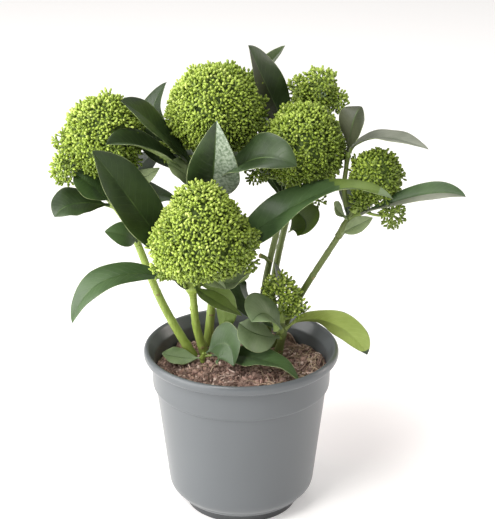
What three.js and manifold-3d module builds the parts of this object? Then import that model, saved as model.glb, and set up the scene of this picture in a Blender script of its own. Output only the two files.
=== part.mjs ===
// A potted skimmia in bud: a small evergreen shrub in a plain nursery pot.
// Several green shoots rise from the soil. Each one carries a whorl of leathery
// leaves and, above it, a domed head of tight flower buds.
//
// Millimetres, +Z up. The origin is the centre of the pot's flat underside.

import * as THREE from 'three';
import { mergeVertices } from 'three/addons/utils/BufferGeometryUtils.js';
import Module from 'manifold-3d';

const wasm = await Module();
wasm.setup();

// ---------------------------------------------------------------- driving sizes

const POT = {
  height: 114,
  lipRadius: 65,
  lipDepth: 6,
  bandRadius: 59.2,
  bandDepth: 20,
  bodyTopRadius: 57,
  bodyFootRadius: 48,
  chamferTop: 14,
  chamferFoot: 6,
  chamferRadius: 40,
  footRadius: 37.5,
  wall: 2,
  floor: 3,
  sides: 42,
  drainHoles: 6,
  drainRadius: 4,
  drainCircle: 26,
};

const SOIL = {
  level: 100,
  relief: 2.6,
  calmAround: 16,
  sides: 34,
};

const FIT = 0.3; // clear gap between pieces that touch
const SLIVER = 0.05; // finer steps than this are smoothed out of a joined solid

const STEM = {
  footRadius: 3.2,
  tipRadius: 2.7,
  flare: 0.6,
  flareHeight: 9,
  slim: 0.6,
  sides: 8,
  steps: 8,
};

const LEAF = {
  steps: 8,
  petiole: 0.1,
  petioleRadius: 1.5,
  petioleThickening: 0.5,
  thickness: 1.7,
  fold: 14,
};

const HEAD = {
  coreShare: 0.93,
  bigLobe: 14,
  lumps: 16,
  underside: 0.95,
  bareBelow: -0.8,
  knobRadius: 6.4,
  knobReach: 1.1,
  knobSpacing: 17,
  peduncleRadius: 2.2,
  rays: 7,
  rayRadius: 1,
  linkRadius: 1.4,
};

const MORE = {
  tries: 6,
  rise: [15, 50],
  long: [66, 88],
  arch: 16,
  slimness: 0.32,
};

const GOLDEN_ANGLE = Math.PI * (3 - Math.sqrt(5));
const GOLDEN_SHARE = (Math.sqrt(5) - 1) / 2;

// ---------------------------------------------------------------- small helpers

const vec = (x, y, z) => new THREE.Vector3(x, y, z);
const radians = THREE.MathUtils.degToRad;
const UP = vec(0, 0, 1);

// Mulberry32: the same seed always gives the same run of numbers from 0 to 1.
function seeded(seed) {
  let state = seed;
  return () => {
    state = (state + 0x6d2b79f5) | 0;
    let mixed = Math.imul(state ^ (state >>> 15), 1 | state);
    mixed = (mixed + Math.imul(mixed ^ (mixed >>> 7), 61 | mixed)) ^ mixed;
    return ((mixed ^ (mixed >>> 14)) >>> 0) / 4294967296;
  };
}

// A closed skin over rings of equal count. Each ring runs anticlockwise about
// the way of travel. The ends close onto `start` and `end` points.
function skin(rings, start, end) {
  const count = rings[0].length;
  const points = [start, ...rings.flat(), end];
  const index = [];
  const at = (ring, side) => 1 + ring * count + (side % count);
  for (let side = 0; side < count; side += 1) {
    index.push(0, at(0, side + 1), at(0, side));
    for (let ring = 0; ring + 1 < rings.length; ring += 1) {
      const [a, b] = [at(ring, side), at(ring, side + 1)];
      const [c, d] = [at(ring + 1, side + 1), at(ring + 1, side)];
      index.push(a, b, c, a, c, d);
    }
    const last = rings.length - 1;
    index.push(points.length - 1, at(last, side), at(last, side + 1));
  }
  const geometry = new THREE.BufferGeometry().setFromPoints(points);
  geometry.setIndex(index);
  return geometry;
}

// A closed geometry as a solid that can be joined and cut.
function solidOf(geometry) {
  const bare = geometry.clone();
  bare.deleteAttribute('normal');
  bare.deleteAttribute('uv');
  const merged = mergeVertices(bare, 1e-4);
  const vertProperties = new Float32Array(merged.attributes.position.array);
  const triVerts = new Uint32Array(merged.index.array);
  return new wasm.Manifold(new wasm.Mesh({ numProp: 3, vertProperties, triVerts }));
}

const joined = (solids) => solids.reduce((whole, piece) => whole.add(piece));

function geometryOf(solid) {
  const mesh = solid.getMesh();
  const geometry = new THREE.BufferGeometry();
  geometry.setAttribute('position', new THREE.BufferAttribute(mesh.vertProperties, 3));
  geometry.setIndex(new THREE.BufferAttribute(mesh.triVerts, 1));
  geometry.computeVertexNormals();
  return geometry;
}

// The largest body of a joined or cut solid, with its slivers smoothed away.
function tidied(solid) {
  const bodies = solid.asOriginal().simplify(SLIVER).decompose();
  return bodies.reduce((best, body) => (body.volume() > best.volume() ? body : best));
}

// True where a solid shares space with none of the others.
const clearOf = (solid, others) => others.every((other) => solid.intersect(other).isEmpty());

function finish(color, roughness) {
  return new THREE.MeshStandardMaterial({ color, roughness, metalness: 0 });
}

const plant = new THREE.Group();

function addMesh(name, solid, material) {
  const mesh = new THREE.Mesh(geometryOf(tidied(solid)), material);
  mesh.name = name;
  plant.add(mesh);
}

const FINISH = {
  pot: finish(0x7d8588, 0.45),
  soil: finish(0x5a3d33, 0.95),
  stem: finish(0x8fa24a, 0.6),
  leaf: finish(0x2f4a2c, 0.4),
  bud: finish(0x8fb03a, 0.55),
};

// ---------------------------------------------------------------- pot

// A moulded pot: rolled lip, plain band, tapering body, chamfer and foot. One
// closed profile is turned about the axis, then the drain holes are cut.
function potSolid() {
  const { height, lipRadius, lipDepth, wall, floor } = POT;
  const bandTop = height - lipDepth;
  const bandFoot = bandTop - POT.bandDepth;
  const outer = [
    [0, 0],
    [POT.footRadius, 0],
    [POT.footRadius, POT.chamferFoot - 1],
    [POT.chamferRadius, POT.chamferFoot],
    [POT.bodyFootRadius, POT.chamferTop],
    [POT.bodyTopRadius, bandFoot - 1.5],
    [POT.bandRadius, bandFoot],
    [POT.bandRadius + 0.6, bandTop - 1.5],
    [lipRadius - 1.2, bandTop - 0.6],
    [lipRadius, bandTop + 1.2],
    [lipRadius, height - 2],
    [lipRadius - 1.3, height],
  ];
  const inner = [
    [lipRadius - 3.2, height - 0.4],
    [lipRadius - 4.2, height - 2.6],
    [POT.bandRadius - wall + 0.3, bandTop - 2],
    [POT.bandRadius - wall - 0.3, bandFoot],
    [POT.bodyFootRadius - wall, POT.chamferTop + 1],
    [POT.footRadius - wall, floor],
    [0, floor],
  ];
  const profile = [...outer, ...inner].map(([radius, z]) => new THREE.Vector2(radius, z));
  const turned = new THREE.LatheGeometry(profile, POT.sides).rotateX(Math.PI / 2);
  let pot = solidOf(turned);
  for (let hole = 0; hole < POT.drainHoles; hole += 1) {
    const angle = (hole / POT.drainHoles) * 2 * Math.PI;
    const drill = new THREE.CylinderGeometry(POT.drainRadius, POT.drainRadius, 4 * floor, 12);
    drill.rotateX(Math.PI / 2);
    drill.translate(POT.drainCircle * Math.cos(angle), POT.drainCircle * Math.sin(angle), 0);
    pot = pot.subtract(solidOf(drill));
  }
  return pot;
}

// ---------------------------------------------------------------- soil

// The compost fills the pot to a little under its lip. Its top is crumbly, and
// calm and level where the stems stand.
function soilSolid(feet) {
  const random = seeded(11);
  const wallAt = (z) => {
    const share = (z - POT.chamferTop) / (POT.height - POT.lipDepth - POT.bandDepth - POT.chamferTop);
    const radius = THREE.MathUtils.lerp(POT.bodyFootRadius, POT.bodyTopRadius, share);
    return radius - POT.wall - 2 * FIT;
  };
  const ring = (radius, heightAt) => {
    const points = [];
    for (let side = 0; side < SOIL.sides; side += 1) {
      const angle = (side / SOIL.sides) * 2 * Math.PI;
      const [x, y] = [radius * Math.cos(angle), radius * Math.sin(angle)];
      points.push(vec(x, y, heightAt(x, y)));
    }
    return points;
  };
  const crumb = (x, y) => {
    const nearest = Math.min(...feet.map(([fx, fy]) => Math.hypot(x - fx, y - fy)));
    const calm = THREE.MathUtils.smoothstep(nearest, SOIL.calmAround * 0.6, SOIL.calmAround * 1.4);
    return SOIL.level - SOIL.relief * random() * calm;
  };
  const bottom = POT.floor + FIT;
  const shoulder = SOIL.level - 3;
  const edge = wallAt(SOIL.level) - 0.8;
  const rings = [
    ring(POT.footRadius - POT.wall - 2 * FIT, () => bottom),
    ring(wallAt(POT.chamferTop + 2), () => POT.chamferTop + 2),
    ring(wallAt(shoulder - 9), () => shoulder - 9),
    ring(wallAt(shoulder - 9) + 0.5, () => shoulder),
  ];
  for (const share of [0.97, 0.8, 0.6, 0.4, 0.2]) {
    rings.push(ring(edge * share, crumb));
  }
  return solidOf(skin(rings, vec(0, 0, bottom), vec(0, 0, SOIL.level)));
}

// ---------------------------------------------------------------- limbs

// A round limb along a curve. `radiusAt` gives its radius at a share of its
// length. A limb that stands on the soil is cut level at its foot.
function limbSolid(curve, radiusAt, { steps = 8, sides = STEM.sides, levelFoot = false } = {}) {
  const frames = curve.computeFrenetFrames(steps, false);
  const rings = [];
  for (let step = 0; step <= steps; step += 1) {
    const centre = curve.getPointAt(step / steps);
    const radius = radiusAt(step / steps);
    const ring = [];
    for (let side = 0; side < sides; side += 1) {
      const angle = (side / sides) * 2 * Math.PI;
      const point = centre.clone();
      point.addScaledVector(frames.normals[step], radius * Math.cos(angle));
      point.addScaledVector(frames.binormals[step], radius * Math.sin(angle));
      if (step === 0 && levelFoot) {
        const along = frames.tangents[0];
        point.addScaledVector(along, (centre.z - point.z) / along.z);
      }
      ring.push(point);
    }
    rings.push(ring);
  }
  return solidOf(skin(rings, curve.getPointAt(0), curve.getPointAt(1)));
}

// A limb's line from foot to tip, bowed sideways half way up.
function bowed(foot, tip, bow = [0, 0]) {
  const middle = foot.clone().lerp(tip, 0.5).add(vec(bow[0], bow[1], 0));
  return new THREE.CatmullRomCurve3([foot, middle, tip]);
}

// The point a given distance past the end of a line of travel.
const past = (end, direction, distance) => end.clone().addScaledVector(direction, distance);

// ---------------------------------------------------------------- leaves

// Half the blade's width at a share of the leaf's length: a bare petiole, then
// an ellipse-like blade drawn out to a point.
function halfWidth(share, wide) {
  const blade = Math.max(share - LEAF.petiole, 0) / (1 - LEAF.petiole);
  const half = (wide / 2) * Math.sin(Math.PI * blade ** 1.1) ** 0.85;
  return Math.max(half, LEAF.petioleRadius);
}

// The way that an azimuth and a rise above level point, in degrees.
function heading([azimuth, rise]) {
  const [turn, lift] = [radians(azimuth), radians(rise)];
  return vec(Math.cos(lift) * Math.cos(turn), Math.cos(lift) * Math.sin(turn), Math.sin(lift));
}

// The line of a leaf's midrib, from its root to its tip: one bow drawn towards
// `over`, or a sharper one drawn towards `over` and then `beyond`.
function midribOf(root, { over, beyond, tip }) {
  if (beyond) {
    return new THREE.CubicBezierCurve3(root, vec(...over), vec(...beyond), vec(...tip));
  }
  return new THREE.QuadraticBezierCurve3(root, vec(...over), vec(...tip));
}

// One leaf. Its upper side looks the way of `faces`, it twists about its midrib,
// and its halves are folded up a little. `swell` makes a fatter copy of it.
function leafSolid(root, leaf, swell = 0) {
  const midrib = midribOf(root, leaf);
  const faces = heading(leaf.faces);
  const { twist = 0, fold = LEAF.fold } = leaf;
  const rings = [];
  for (let step = 0; step < LEAF.steps; step += 1) {
    const share = step / LEAF.steps;
    const point = midrib.getPoint(share);
    const along = midrib.getTangent(share);
    const side = faces.clone().cross(along).normalize();
    side.applyAxisAngle(along, radians(twist * (share - 0.5)));
    const face = along.clone().cross(side);
    const half = halfWidth(share, leaf.wide) + swell;
    const thick = LEAF.thickness / 2 + (share <= LEAF.petiole ? LEAF.petioleThickening : 0) + swell;
    const reach = Math.cos(radians(fold)) * half;
    const lift = Math.sin(radians(fold)) * half;
    rings.push([
      point.clone().addScaledVector(side, reach).addScaledVector(face, lift),
      past(point, face, thick),
      point.clone().addScaledVector(side, -reach).addScaledVector(face, lift),
      past(point, face, -thick),
    ]);
  }
  return solidOf(skin(rings, root, past(midrib.getPoint(1), midrib.getTangent(1), swell)));
}

// ---------------------------------------------------------------- flower heads

// The core of one lobe: a squat ball with broad lumps and a flatter underside.
function coreSolid(centre, radii, random) {
  const lumps = [];
  for (let lump = 0; lump < HEAD.lumps; lump += 1) {
    lumps.push(vec(random() * 2 - 1, random() * 2 - 1, random() * 2 - 0.8).normalize());
  }
  const detail = radii[0] > HEAD.bigLobe ? 2 : 1;
  const ball = new THREE.IcosahedronGeometry(1, detail);
  const place = ball.attributes.position;
  const way = vec(0, 0, 0);
  for (let corner = 0; corner < place.count; corner += 1) {
    way.fromBufferAttribute(place, corner).normalize();
    const nearest = Math.max(...lumps.map((lump) => lump.dot(way)));
    const swell = HEAD.coreShare * (0.9 + 0.1 * Math.max(0, nearest) ** 8);
    const sink = way.z < 0 ? HEAD.underside : 1;
    place.setXYZ(
      corner,
      centre.x + way.x * swell * radii[0],
      centre.y + way.y * swell * radii[1],
      centre.z + way.z * swell * radii[2] * sink,
    );
  }
  return solidOf(ball);
}

// A knob of buds: an octahedron whose long axis points out of the head.
function knobSolid(centre, outward, radius, spin) {
  const knob = new THREE.OctahedronGeometry(1, 0);
  knob.rotateZ(spin);
  knob.scale(radius, radius, radius * HEAD.knobReach);
  knob.applyQuaternion(new THREE.Quaternion().setFromUnitVectors(UP, outward));
  knob.translate(centre.x, centre.y, centre.z);
  return solidOf(knob);
}

// The knobs of one lobe, spread evenly over it by the golden angle and seated
// in its core. One that would touch a neighbour is skipped.
function knobSolids(centre, radii, random, neighbours) {
  const mean = (radii[0] + radii[1] + radii[2]) / 3;
  const count = Math.round((4 * Math.PI * mean * mean) / HEAD.knobSpacing ** 2);
  const knobs = [];
  for (let knob = 0; knob < count; knob += 1) {
    const level = 1 - (2 * (knob + 0.5)) / count;
    const turn = knob * GOLDEN_ANGLE + random() * 0.3;
    const flat = Math.sqrt(1 - level * level);
    const outward = vec(flat * Math.cos(turn), flat * Math.sin(turn), level);
    const radius = HEAD.knobRadius * (0.85 + 0.35 * random());
    const reach = 1 + 0.06 * (random() - 0.5);
    const spin = random() * Math.PI;
    const sink = level < 0 ? HEAD.underside : 1;
    const seat = outward.clone().multiply(vec(radii[0], radii[1], radii[2] * sink));
    seat.multiplyScalar(reach).addScaledVector(outward, -radius * HEAD.knobReach).add(centre);
    const bare = level < HEAD.bareBelow;
    if (!bare && clearOf(knobSolid(seat, outward, radius + FIT, spin), neighbours)) {
      knobs.push(knobSolid(seat, outward, radius, spin));
    }
  }
  return knobs;
}

// A whole head: the peduncle, the rays that spread from it under the dome, and
// one or more lobes of knobs on their cores, cut clear of what passes by.
function headSolid(start, onward, head, neighbours, keepOut) {
  const random = seeded(head.seed);
  const lobes = head.lobes.map((lobe) => ({ centre: vec(...lobe.at), radii: lobe.radii }));
  const main = lobes[0];
  const pieces = [];
  for (const lobe of lobes) {
    pieces.push(coreSolid(lobe.centre, lobe.radii, random));
    pieces.push(...knobSolids(lobe.centre, lobe.radii, random, neighbours));
  }
  const rise = past(start, onward, start.distanceTo(main.centre) / 3);
  const peduncle = new THREE.QuadraticBezierCurve3(start, rise, main.centre);
  pieces.push(limbSolid(peduncle, () => HEAD.peduncleRadius, { steps: 3, sides: 6 }));
  for (let ray = 0; ray < HEAD.rays; ray += 1) {
    const turn = (ray / HEAD.rays) * 2 * Math.PI + random();
    const foot = peduncle.getPoint(0.35);
    const reach = vec(Math.cos(turn), Math.sin(turn), -0.25);
    const tip = main.centre.clone().add(reach.multiply(vec(...main.radii)).multiplyScalar(0.7));
    const line = new THREE.LineCurve3(foot, tip);
    const wide = limbSolid(line, () => HEAD.rayRadius + FIT, { steps: 1, sides: 3 });
    if (clearOf(wide, neighbours)) {
      pieces.push(limbSolid(line, () => HEAD.rayRadius, { steps: 1, sides: 3 }));
    }
  }
  for (const lobe of lobes.slice(1)) {
    const line = new THREE.LineCurve3(main.centre, lobe.centre);
    pieces.push(limbSolid(line, () => HEAD.linkRadius, { steps: 1, sides: 4 }));
  }
  return keepOut.reduce((whole, block) => whole.subtract(block), joined(pieces));
}

// ---------------------------------------------------------------- shoots

// Each shoot: a stem from its foot to its tip, a whorl of leaves on the short
// length of stem above it, and the head that ends it. A leaf's `up` is its place
// on the whorl's stem, from 0 at its foot to 1 at its top. `more` grows further
// leaves by rule, between two azimuths.
const SHOOTS = [
  {
    name: 'left',
    foot: [-32.5, 10.5],
    tip: [-67.5, 8.5, 182],
    bow: [-3, 0],
    whorlTop: [-84, 11, 217],
    leaves: [
      { up: 0.05, over: [-71, -5, 195], tip: [-88, -6, 197], faces: [-90, 39], wide: 17 },
      { up: 0.72, over: [-112, -2, 221], tip: [-120, -6, 207], faces: [-100, 65], wide: 29, twist: 12 },
      { up: 0.78, over: [-97, -2, 230], tip: [-107, 3, 233], faces: [-80, 60], wide: 27 },
      { up: 0.7, over: [-66, 19, 219], tip: [-42, 27, 207], faces: [-94, 78], wide: 28 },
      { up: 0.8, over: [-69, 26, 230], tip: [-57, 47, 235], faces: [-123, 20], wide: 24 },
    ],
    more: { count: 3, from: 95, to: 150, seed: 31 },
    head: {
      seed: 41,
      lobes: [
        { at: [-88, 16, 256], radii: [29, 29, 30] },
        { at: [-111, 5, 238], radii: [12, 12, 13] },
      ],
    },
  },
  {
    name: 'front',
    foot: [-24.5, 13],
    tip: [-31.5, -3, 150],
    bow: [-2, 1],
    whorlTop: [-30, -8, 170],
    leaves: [
      { up: 0.45, over: [-69, -23, 226], tip: [-91, -35, 261], faces: [-54, 37], wide: 37, twist: 12 },
      {
        up: 0.4,
        over: [-63, -18, 181],
        beyond: [-101, -30, 180],
        tip: [-109, -28, 142],
        faces: [-90, 70],
        wide: 23,
      },
      { up: 0.65, over: [3, -8, 159], tip: [5, -24, 175], faces: [-113, 72], wide: 18, twist: 18 },
      { up: 0.5, over: [-22, -28, 160], tip: [1, -27, 147], faces: [-94, 80], wide: 22 },
    ],
    head: {
      seed: 111,
      lobes: [{ at: [-23, -30, 209], radii: [37.5, 35, 34] }],
    },
  },
  {
    name: 'middle',
    foot: [-23, 30],
    tip: [-21, 21, 203],
    bow: [3, 0],
    whorlTop: [-19, 26, 232],
    leaves: [
      {
        up: 0.3,
        over: [-18, -4, 218],
        tip: [-15, -18, 275],
        faces: [-85, 10],
        wide: 36,
        twist: -30,
        fold: 22,
      },
      {
        up: 0.35,
        over: [7, -22, 265],
        tip: [35, -23, 247],
        faces: [-151, 58],
        wide: 37,
        twist: 11,
        fold: 26,
      },
      {
        up: 0.4,
        over: [-65, 3, 272],
        tip: [-84, -16, 259],
        faces: [-153, 30],
        wide: 27,
        twist: 34,
        fold: 18,
      },
      { up: 0.5, over: [-48, 25, 274], tip: [-75, -5, 284], faces: [-137, 22], wide: 27, twist: -12 },
      { up: 0.6, over: [-78, 32, 248], tip: [-49, 47, 282], faces: [-139, 34], wide: 28, twist: -15 },
      { up: 0.3, over: [-37, 3, 236], tip: [-47, 4, 240], faces: [-91, 59], wide: 19 },
      {
        up: 0.7,
        over: [2, 70, 275],
        tip: [29, 65, 302],
        faces: [147, 39],
        wide: 29,
        twist: -31,
        fold: 12,
      },
    ],
    more: { count: 3, from: 50, to: 150, seed: 43 },
    head: {
      seed: 23,
      lobes: [{ at: [-17, 28, 270], radii: [34, 33, 33] }],
    },
  },
  {
    name: 'back',
    foot: [12, 22],
    tip: [26, 24, 196],
    bow: [-3, 0],
    whorlTop: [32, 22, 222],
    leaves: [{ up: 0.34, over: [51, -2, 202], tip: [36, -16, 198], faces: [-129, 33], wide: 26, twist: 8 }],
    more: { count: 3, from: 62, to: 100, seed: 146 },
    head: {
      seed: 24,
      lobes: [{ at: [40, 18, 247], radii: [29, 29, 31] }],
    },
  },
  {
    name: 'far',
    foot: [17, 33],
    tip: [37, 44, 214],
    bow: [-3, 0],
    whorlTop: [44, 49, 242],
    leaves: [
      { up: 0.5, over: [17, 54, 276], tip: [5, 21, 313], faces: [-60, 30], wide: 28, twist: 18 },
    ],
    more: { count: 4, from: 78, to: 168, seed: 35 },
    head: {
      seed: 25,
      lobes: [
        { at: [51, 52, 274], radii: [15, 15, 17] },
        { at: [37, 50, 273], radii: [10, 11, 11] },
        { at: [63, 51, 267], radii: [7, 7, 8] },
      ],
    },
  },
  {
    name: 'right',
    foot: [21, 24],
    tip: [63.5, 8, 188],
    bow: [-2, 0],
    whorlTop: [73, 6, 206],
    leaves: [
      { up: 0.75, over: [123, -4, 230], tip: [143, -12, 223], faces: [-82, 64], wide: 18, fold: 22 },
      {
        up: 0.7,
        over: [59, 4, 209],
        tip: [61, -4, 217],
        faces: [-41, 12],
        wide: 7,
        twist: -2,
        fold: 23,
      },
      { up: 0.5, over: [76, 0, 205], tip: [86, 0, 205], faces: [-90, 45], wide: 9 },
    ],
    more: { count: 3, from: 35, to: 150, seed: 36 },
    head: {
      seed: 26,
      lobes: [
        { at: [88, 12, 229], radii: [20, 20, 22] },
        { at: [79, 9, 213], radii: [10, 10, 9] },
        { at: [100, 5, 202], radii: [6, 6, 8] },
      ],
    },
  },
  {
    name: 'low',
    foot: [24, 8],
    tip: [27, 4, 116],
    bow: [0, 0],
    whorlTop: [27, 5, 129],
    leaves: [
      {
        up: 0.4,
        over: [29, -21, 138],
        tip: [4, -13, 152],
        faces: [-109, -11],
        wide: 33,
        twist: -10,
        fold: 20,
      },
      { up: 0.12, over: [7, -21, 129], tip: [-1, -20, 139], faces: [-99, 45], wide: 29 },
      {
        up: 0.4,
        over: [66, 9, 140],
        tip: [88, 4, 104],
        faces: [105, 31],
        wide: 28,
        twist: 16,
        fold: 9,
      },
      {
        up: 0.4,
        over: [-3, 11, 135],
        tip: [-2, 17, 157],
        faces: [-70, -81],
        wide: 24,
        twist: -4,
        fold: 13,
      },
      { up: 0.9, over: [26, 15, 156], tip: [22, 22, 165], faces: [-26, -6], wide: 14 },
    ],
    head: {
      seed: 27,
      lobes: [
        { at: [26, 6, 147], radii: [15, 15, 17] },
        { at: [38, 3, 138], radii: [6, 6, 8] },
      ],
    },
  },
  {
    name: 'upper',
    from: [68.5, 8, 209],
    tip: [68, 12, 234],
    bow: [-1.5, 0],
    slim: true,
    whorlTop: [70, 14, 247],
    leaves: [
      { up: 0.6, over: [69, 1, 271], tip: [76, 8, 277], faces: [-142, 17], wide: 25 },
      { up: 0.8, over: [81, 22, 261], tip: [118, -13, 255], faces: [-88, 88], wide: 23 },
    ],
  },
  {
    name: 'side',
    from: [-16.5, 21.5, 168],
    leaves: [
      {
        up: 0,
        over: [4, -26, 196],
        beyond: [53, -8, 248],
        tip: [96, -22, 225],
        faces: [-165, 20],
        wide: 32,
        twist: -155,
        fold: 18,
      },
    ],
  },
  {
    name: 'basal',
    foot: [-26, 2],
    whorlTop: [-25, 0, 108],
    leaves: [
      { up: 0.4, over: [-42, -1, 104], tip: [-53, 0, 108], faces: [-89, 64], wide: 15 },
      {
        up: 0.5,
        over: [-19, -3, 134],
        tip: [-5, -23, 109],
        faces: [-52, 33],
        wide: 29,
        twist: -10,
        fold: 18,
      },
      { up: 0.6, over: [19, -16, 118], tip: [37, -46, 110], faces: [-43, 22], wide: 21, twist: -17 },
    ],
  },
];

// ---------------------------------------------------------------- assembly

// The round stem of a shoot, from the soil or from `from` to its tip.
function stemOf(shoot) {
  const foot = shoot.from ? vec(...shoot.from) : vec(...shoot.foot, SOIL.level + FIT);
  const slim = shoot.slim ? STEM.slim : 1;
  const line = bowed(foot, vec(...shoot.tip), shoot.bow);
  const length = line.getLength();
  const radiusAt = (share) => {
    const taper = THREE.MathUtils.lerp(STEM.footRadius, STEM.tipRadius, share);
    const flare = shoot.from ? 0 : STEM.flare * Math.exp((-share * length) / STEM.flareHeight);
    return (taper + flare) * slim;
  };
  const solid = limbSolid(line, radiusAt, { steps: STEM.steps, levelFoot: !shoot.from });
  return { solid, end: line.getPointAt(1), onward: line.getTangentAt(1) };
}

// The short length of stem that a shoot's leaves grow from.
function whorlLine(shoot, stem) {
  const foot = stem ? past(stem.end, stem.onward, FIT) : vec(...shoot.foot, SOIL.level + FIT);
  const top = vec(...shoot.whorlTop);
  const onward = stem ? stem.onward : UP;
  const middle = past(foot, onward, foot.distanceTo(top) / 3);
  return new THREE.CatmullRomCurve3([foot, middle, top]);
}

// Further leaves by rule, to fill a whorl out. Each sets off at its own azimuth
// and rise and droops to its tip. One that would touch anything is skipped.
function moreLeaves({ count, from, to, seed }, line, neighbours) {
  const random = seeded(seed);
  const leaves = [];
  for (let go = 0; go < MORE.tries * count && leaves.length < count; go += 1) {
    const share = (go * GOLDEN_SHARE + 0.1 * random()) % 1;
    const azimuth = THREE.MathUtils.lerp(from, to, share);
    const rise = THREE.MathUtils.lerp(...MORE.rise, random());
    const long = THREE.MathUtils.lerp(...MORE.long, random());
    const root = line.getPointAt(0.2 + 0.6 * random());
    const over = past(root, heading([azimuth, rise + MORE.arch]), long * 0.5);
    const tip = past(root, heading([azimuth, rise - MORE.arch]), long * 0.94);
    const faces = [azimuth + 180, 70];
    const leaf = { over: over.toArray(), tip: tip.toArray(), faces, wide: long * MORE.slimness };
    if (clearOf(leafSolid(root, leaf, 2 * FIT), neighbours)) {
      leaves.push(leafSolid(root, leaf));
    }
  }
  return leaves;
}

const grown = SHOOTS.map((shoot) => {
  const stem = shoot.tip && stemOf(shoot);
  const pieces = [];
  const guards = [];
  let line = null;
  if (shoot.whorlTop) {
    line = whorlLine(shoot, stem);
    const radius = STEM.tipRadius * (shoot.slim ? STEM.slim : 1);
    pieces.push(limbSolid(line, () => radius, { steps: 3, sides: 6, levelFoot: !stem }));
  }
  for (const leaf of shoot.leaves) {
    const root = line ? line.getPointAt(leaf.up) : vec(...shoot.from);
    pieces.push(leafSolid(root, leaf));
    guards.push(leafSolid(root, leaf, 2 * FIT));
  }
  return { shoot, stem, line, guards, leaves: joined(pieces) };
});

const guards = grown.flatMap((part) => part.guards);
for (const part of grown) {
  if (part.shoot.head) {
    const onward = part.line.getTangentAt(1);
    const start = past(part.line.getPointAt(1), onward, FIT);
    part.head = headSolid(start, onward, part.shoot.head, guards, guards);
  }
}

for (const part of grown.filter(({ shoot }) => shoot.more)) {
  const others = grown.filter((other) => other !== part);
  const neighbours = grown.flatMap(({ stem, head }) => [stem?.solid, head].filter(Boolean));
  neighbours.push(...others.map((other) => other.leaves));
  part.leaves = joined([part.leaves, ...moreLeaves(part.shoot.more, part.line, neighbours)]);
}

const feet = SHOOTS.filter((shoot) => shoot.foot).map((shoot) => shoot.foot);
addMesh('pot', potSolid(), FINISH.pot);
addMesh('soil', soilSolid(feet), FINISH.soil);
for (const { shoot, stem, leaves, head } of grown) {
  if (stem) {
    addMesh(`stem_${shoot.name}`, stem.solid, FINISH.stem);
  }
  addMesh(`leaves_${shoot.name}`, leaves, FINISH.leaf);
  if (head) {
    addMesh(`head_${shoot.name}`, head, FINISH.bud);
  }
}

export default plant;
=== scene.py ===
"""A potted skimmia in bud: the finished look of each piece, set round the CAD frame.

Sizes are worked out in millimetres and written to the meshes in metres.
"""

import bpy
import numpy as np
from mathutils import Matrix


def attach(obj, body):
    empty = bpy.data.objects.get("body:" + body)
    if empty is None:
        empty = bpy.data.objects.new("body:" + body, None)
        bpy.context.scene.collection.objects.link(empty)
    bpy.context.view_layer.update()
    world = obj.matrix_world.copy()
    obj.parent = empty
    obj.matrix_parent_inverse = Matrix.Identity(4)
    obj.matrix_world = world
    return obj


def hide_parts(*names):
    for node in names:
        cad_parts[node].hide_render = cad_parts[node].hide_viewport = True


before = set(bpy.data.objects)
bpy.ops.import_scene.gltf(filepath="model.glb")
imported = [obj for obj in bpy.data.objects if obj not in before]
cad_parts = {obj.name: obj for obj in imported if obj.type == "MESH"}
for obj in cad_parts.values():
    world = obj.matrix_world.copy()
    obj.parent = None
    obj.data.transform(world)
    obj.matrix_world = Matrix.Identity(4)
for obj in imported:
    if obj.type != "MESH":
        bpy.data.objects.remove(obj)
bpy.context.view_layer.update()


# ------------------------------------------------------------------ studio
# A pale floor, an even white surround and large soft lamps, with one long lens
# that looks a little down on the plant.

CAMERA_AT = (0.0042, -0.9986, 0.5724)
CAMERA_LENS = 114.1
CAMERA_DOWN = 21.69

camera_data = bpy.data.cameras.new("camera")
camera_data.sensor_width = 36.0
camera_data.lens = CAMERA_LENS
camera_data.clip_start = 0.05
camera_data.clip_end = 60.0
camera = bpy.data.objects.new("camera", camera_data)
camera.location = CAMERA_AT
camera.rotation_euler = (np.radians(90 - CAMERA_DOWN), 0.0, 0.0)
bpy.context.scene.collection.objects.link(camera)
bpy.context.scene.camera = camera
bpy.context.scene.view_settings.view_transform = "Standard"


class Wire:
    """One shader socket. Sums and products of wires and numbers add Math nodes."""

    def __init__(self, paint, socket):
        self.paint = paint
        self.socket = socket

    def _math(self, operation, first, second):
        return self.paint.node("ShaderNodeMath", {"operation": operation}, {0: first, 1: second})

    def __add__(self, other):
        return self._math("ADD", self, other)

    __radd__ = __add__

    def __sub__(self, other):
        return self._math("SUBTRACT", self, other)

    def __rsub__(self, other):
        return self._math("SUBTRACT", other, self)

    def __mul__(self, other):
        return self._math("MULTIPLY", self, other)

    __rmul__ = __mul__

    def __abs__(self):
        return self._math("ABSOLUTE", self, 0.0)

    def band(self, low, high):
        """0 below `low`, 1 above `high`, smooth between them."""
        ramp = {"interpolation_type": "SMOOTHSTEP"}
        return self.paint.node("ShaderNodeMapRange", ramp, {0: self, 1: low, 2: high})


def shade(colour):
    """A colour as it looks on a screen, 0 to 255, as a linear shader colour."""
    part = np.array(colour) / 255.0
    linear = np.where(part <= 0.04045, part / 12.92, ((part + 0.055) / 1.055) ** 2.4)
    return (*map(float, linear), 1.0)


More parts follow.
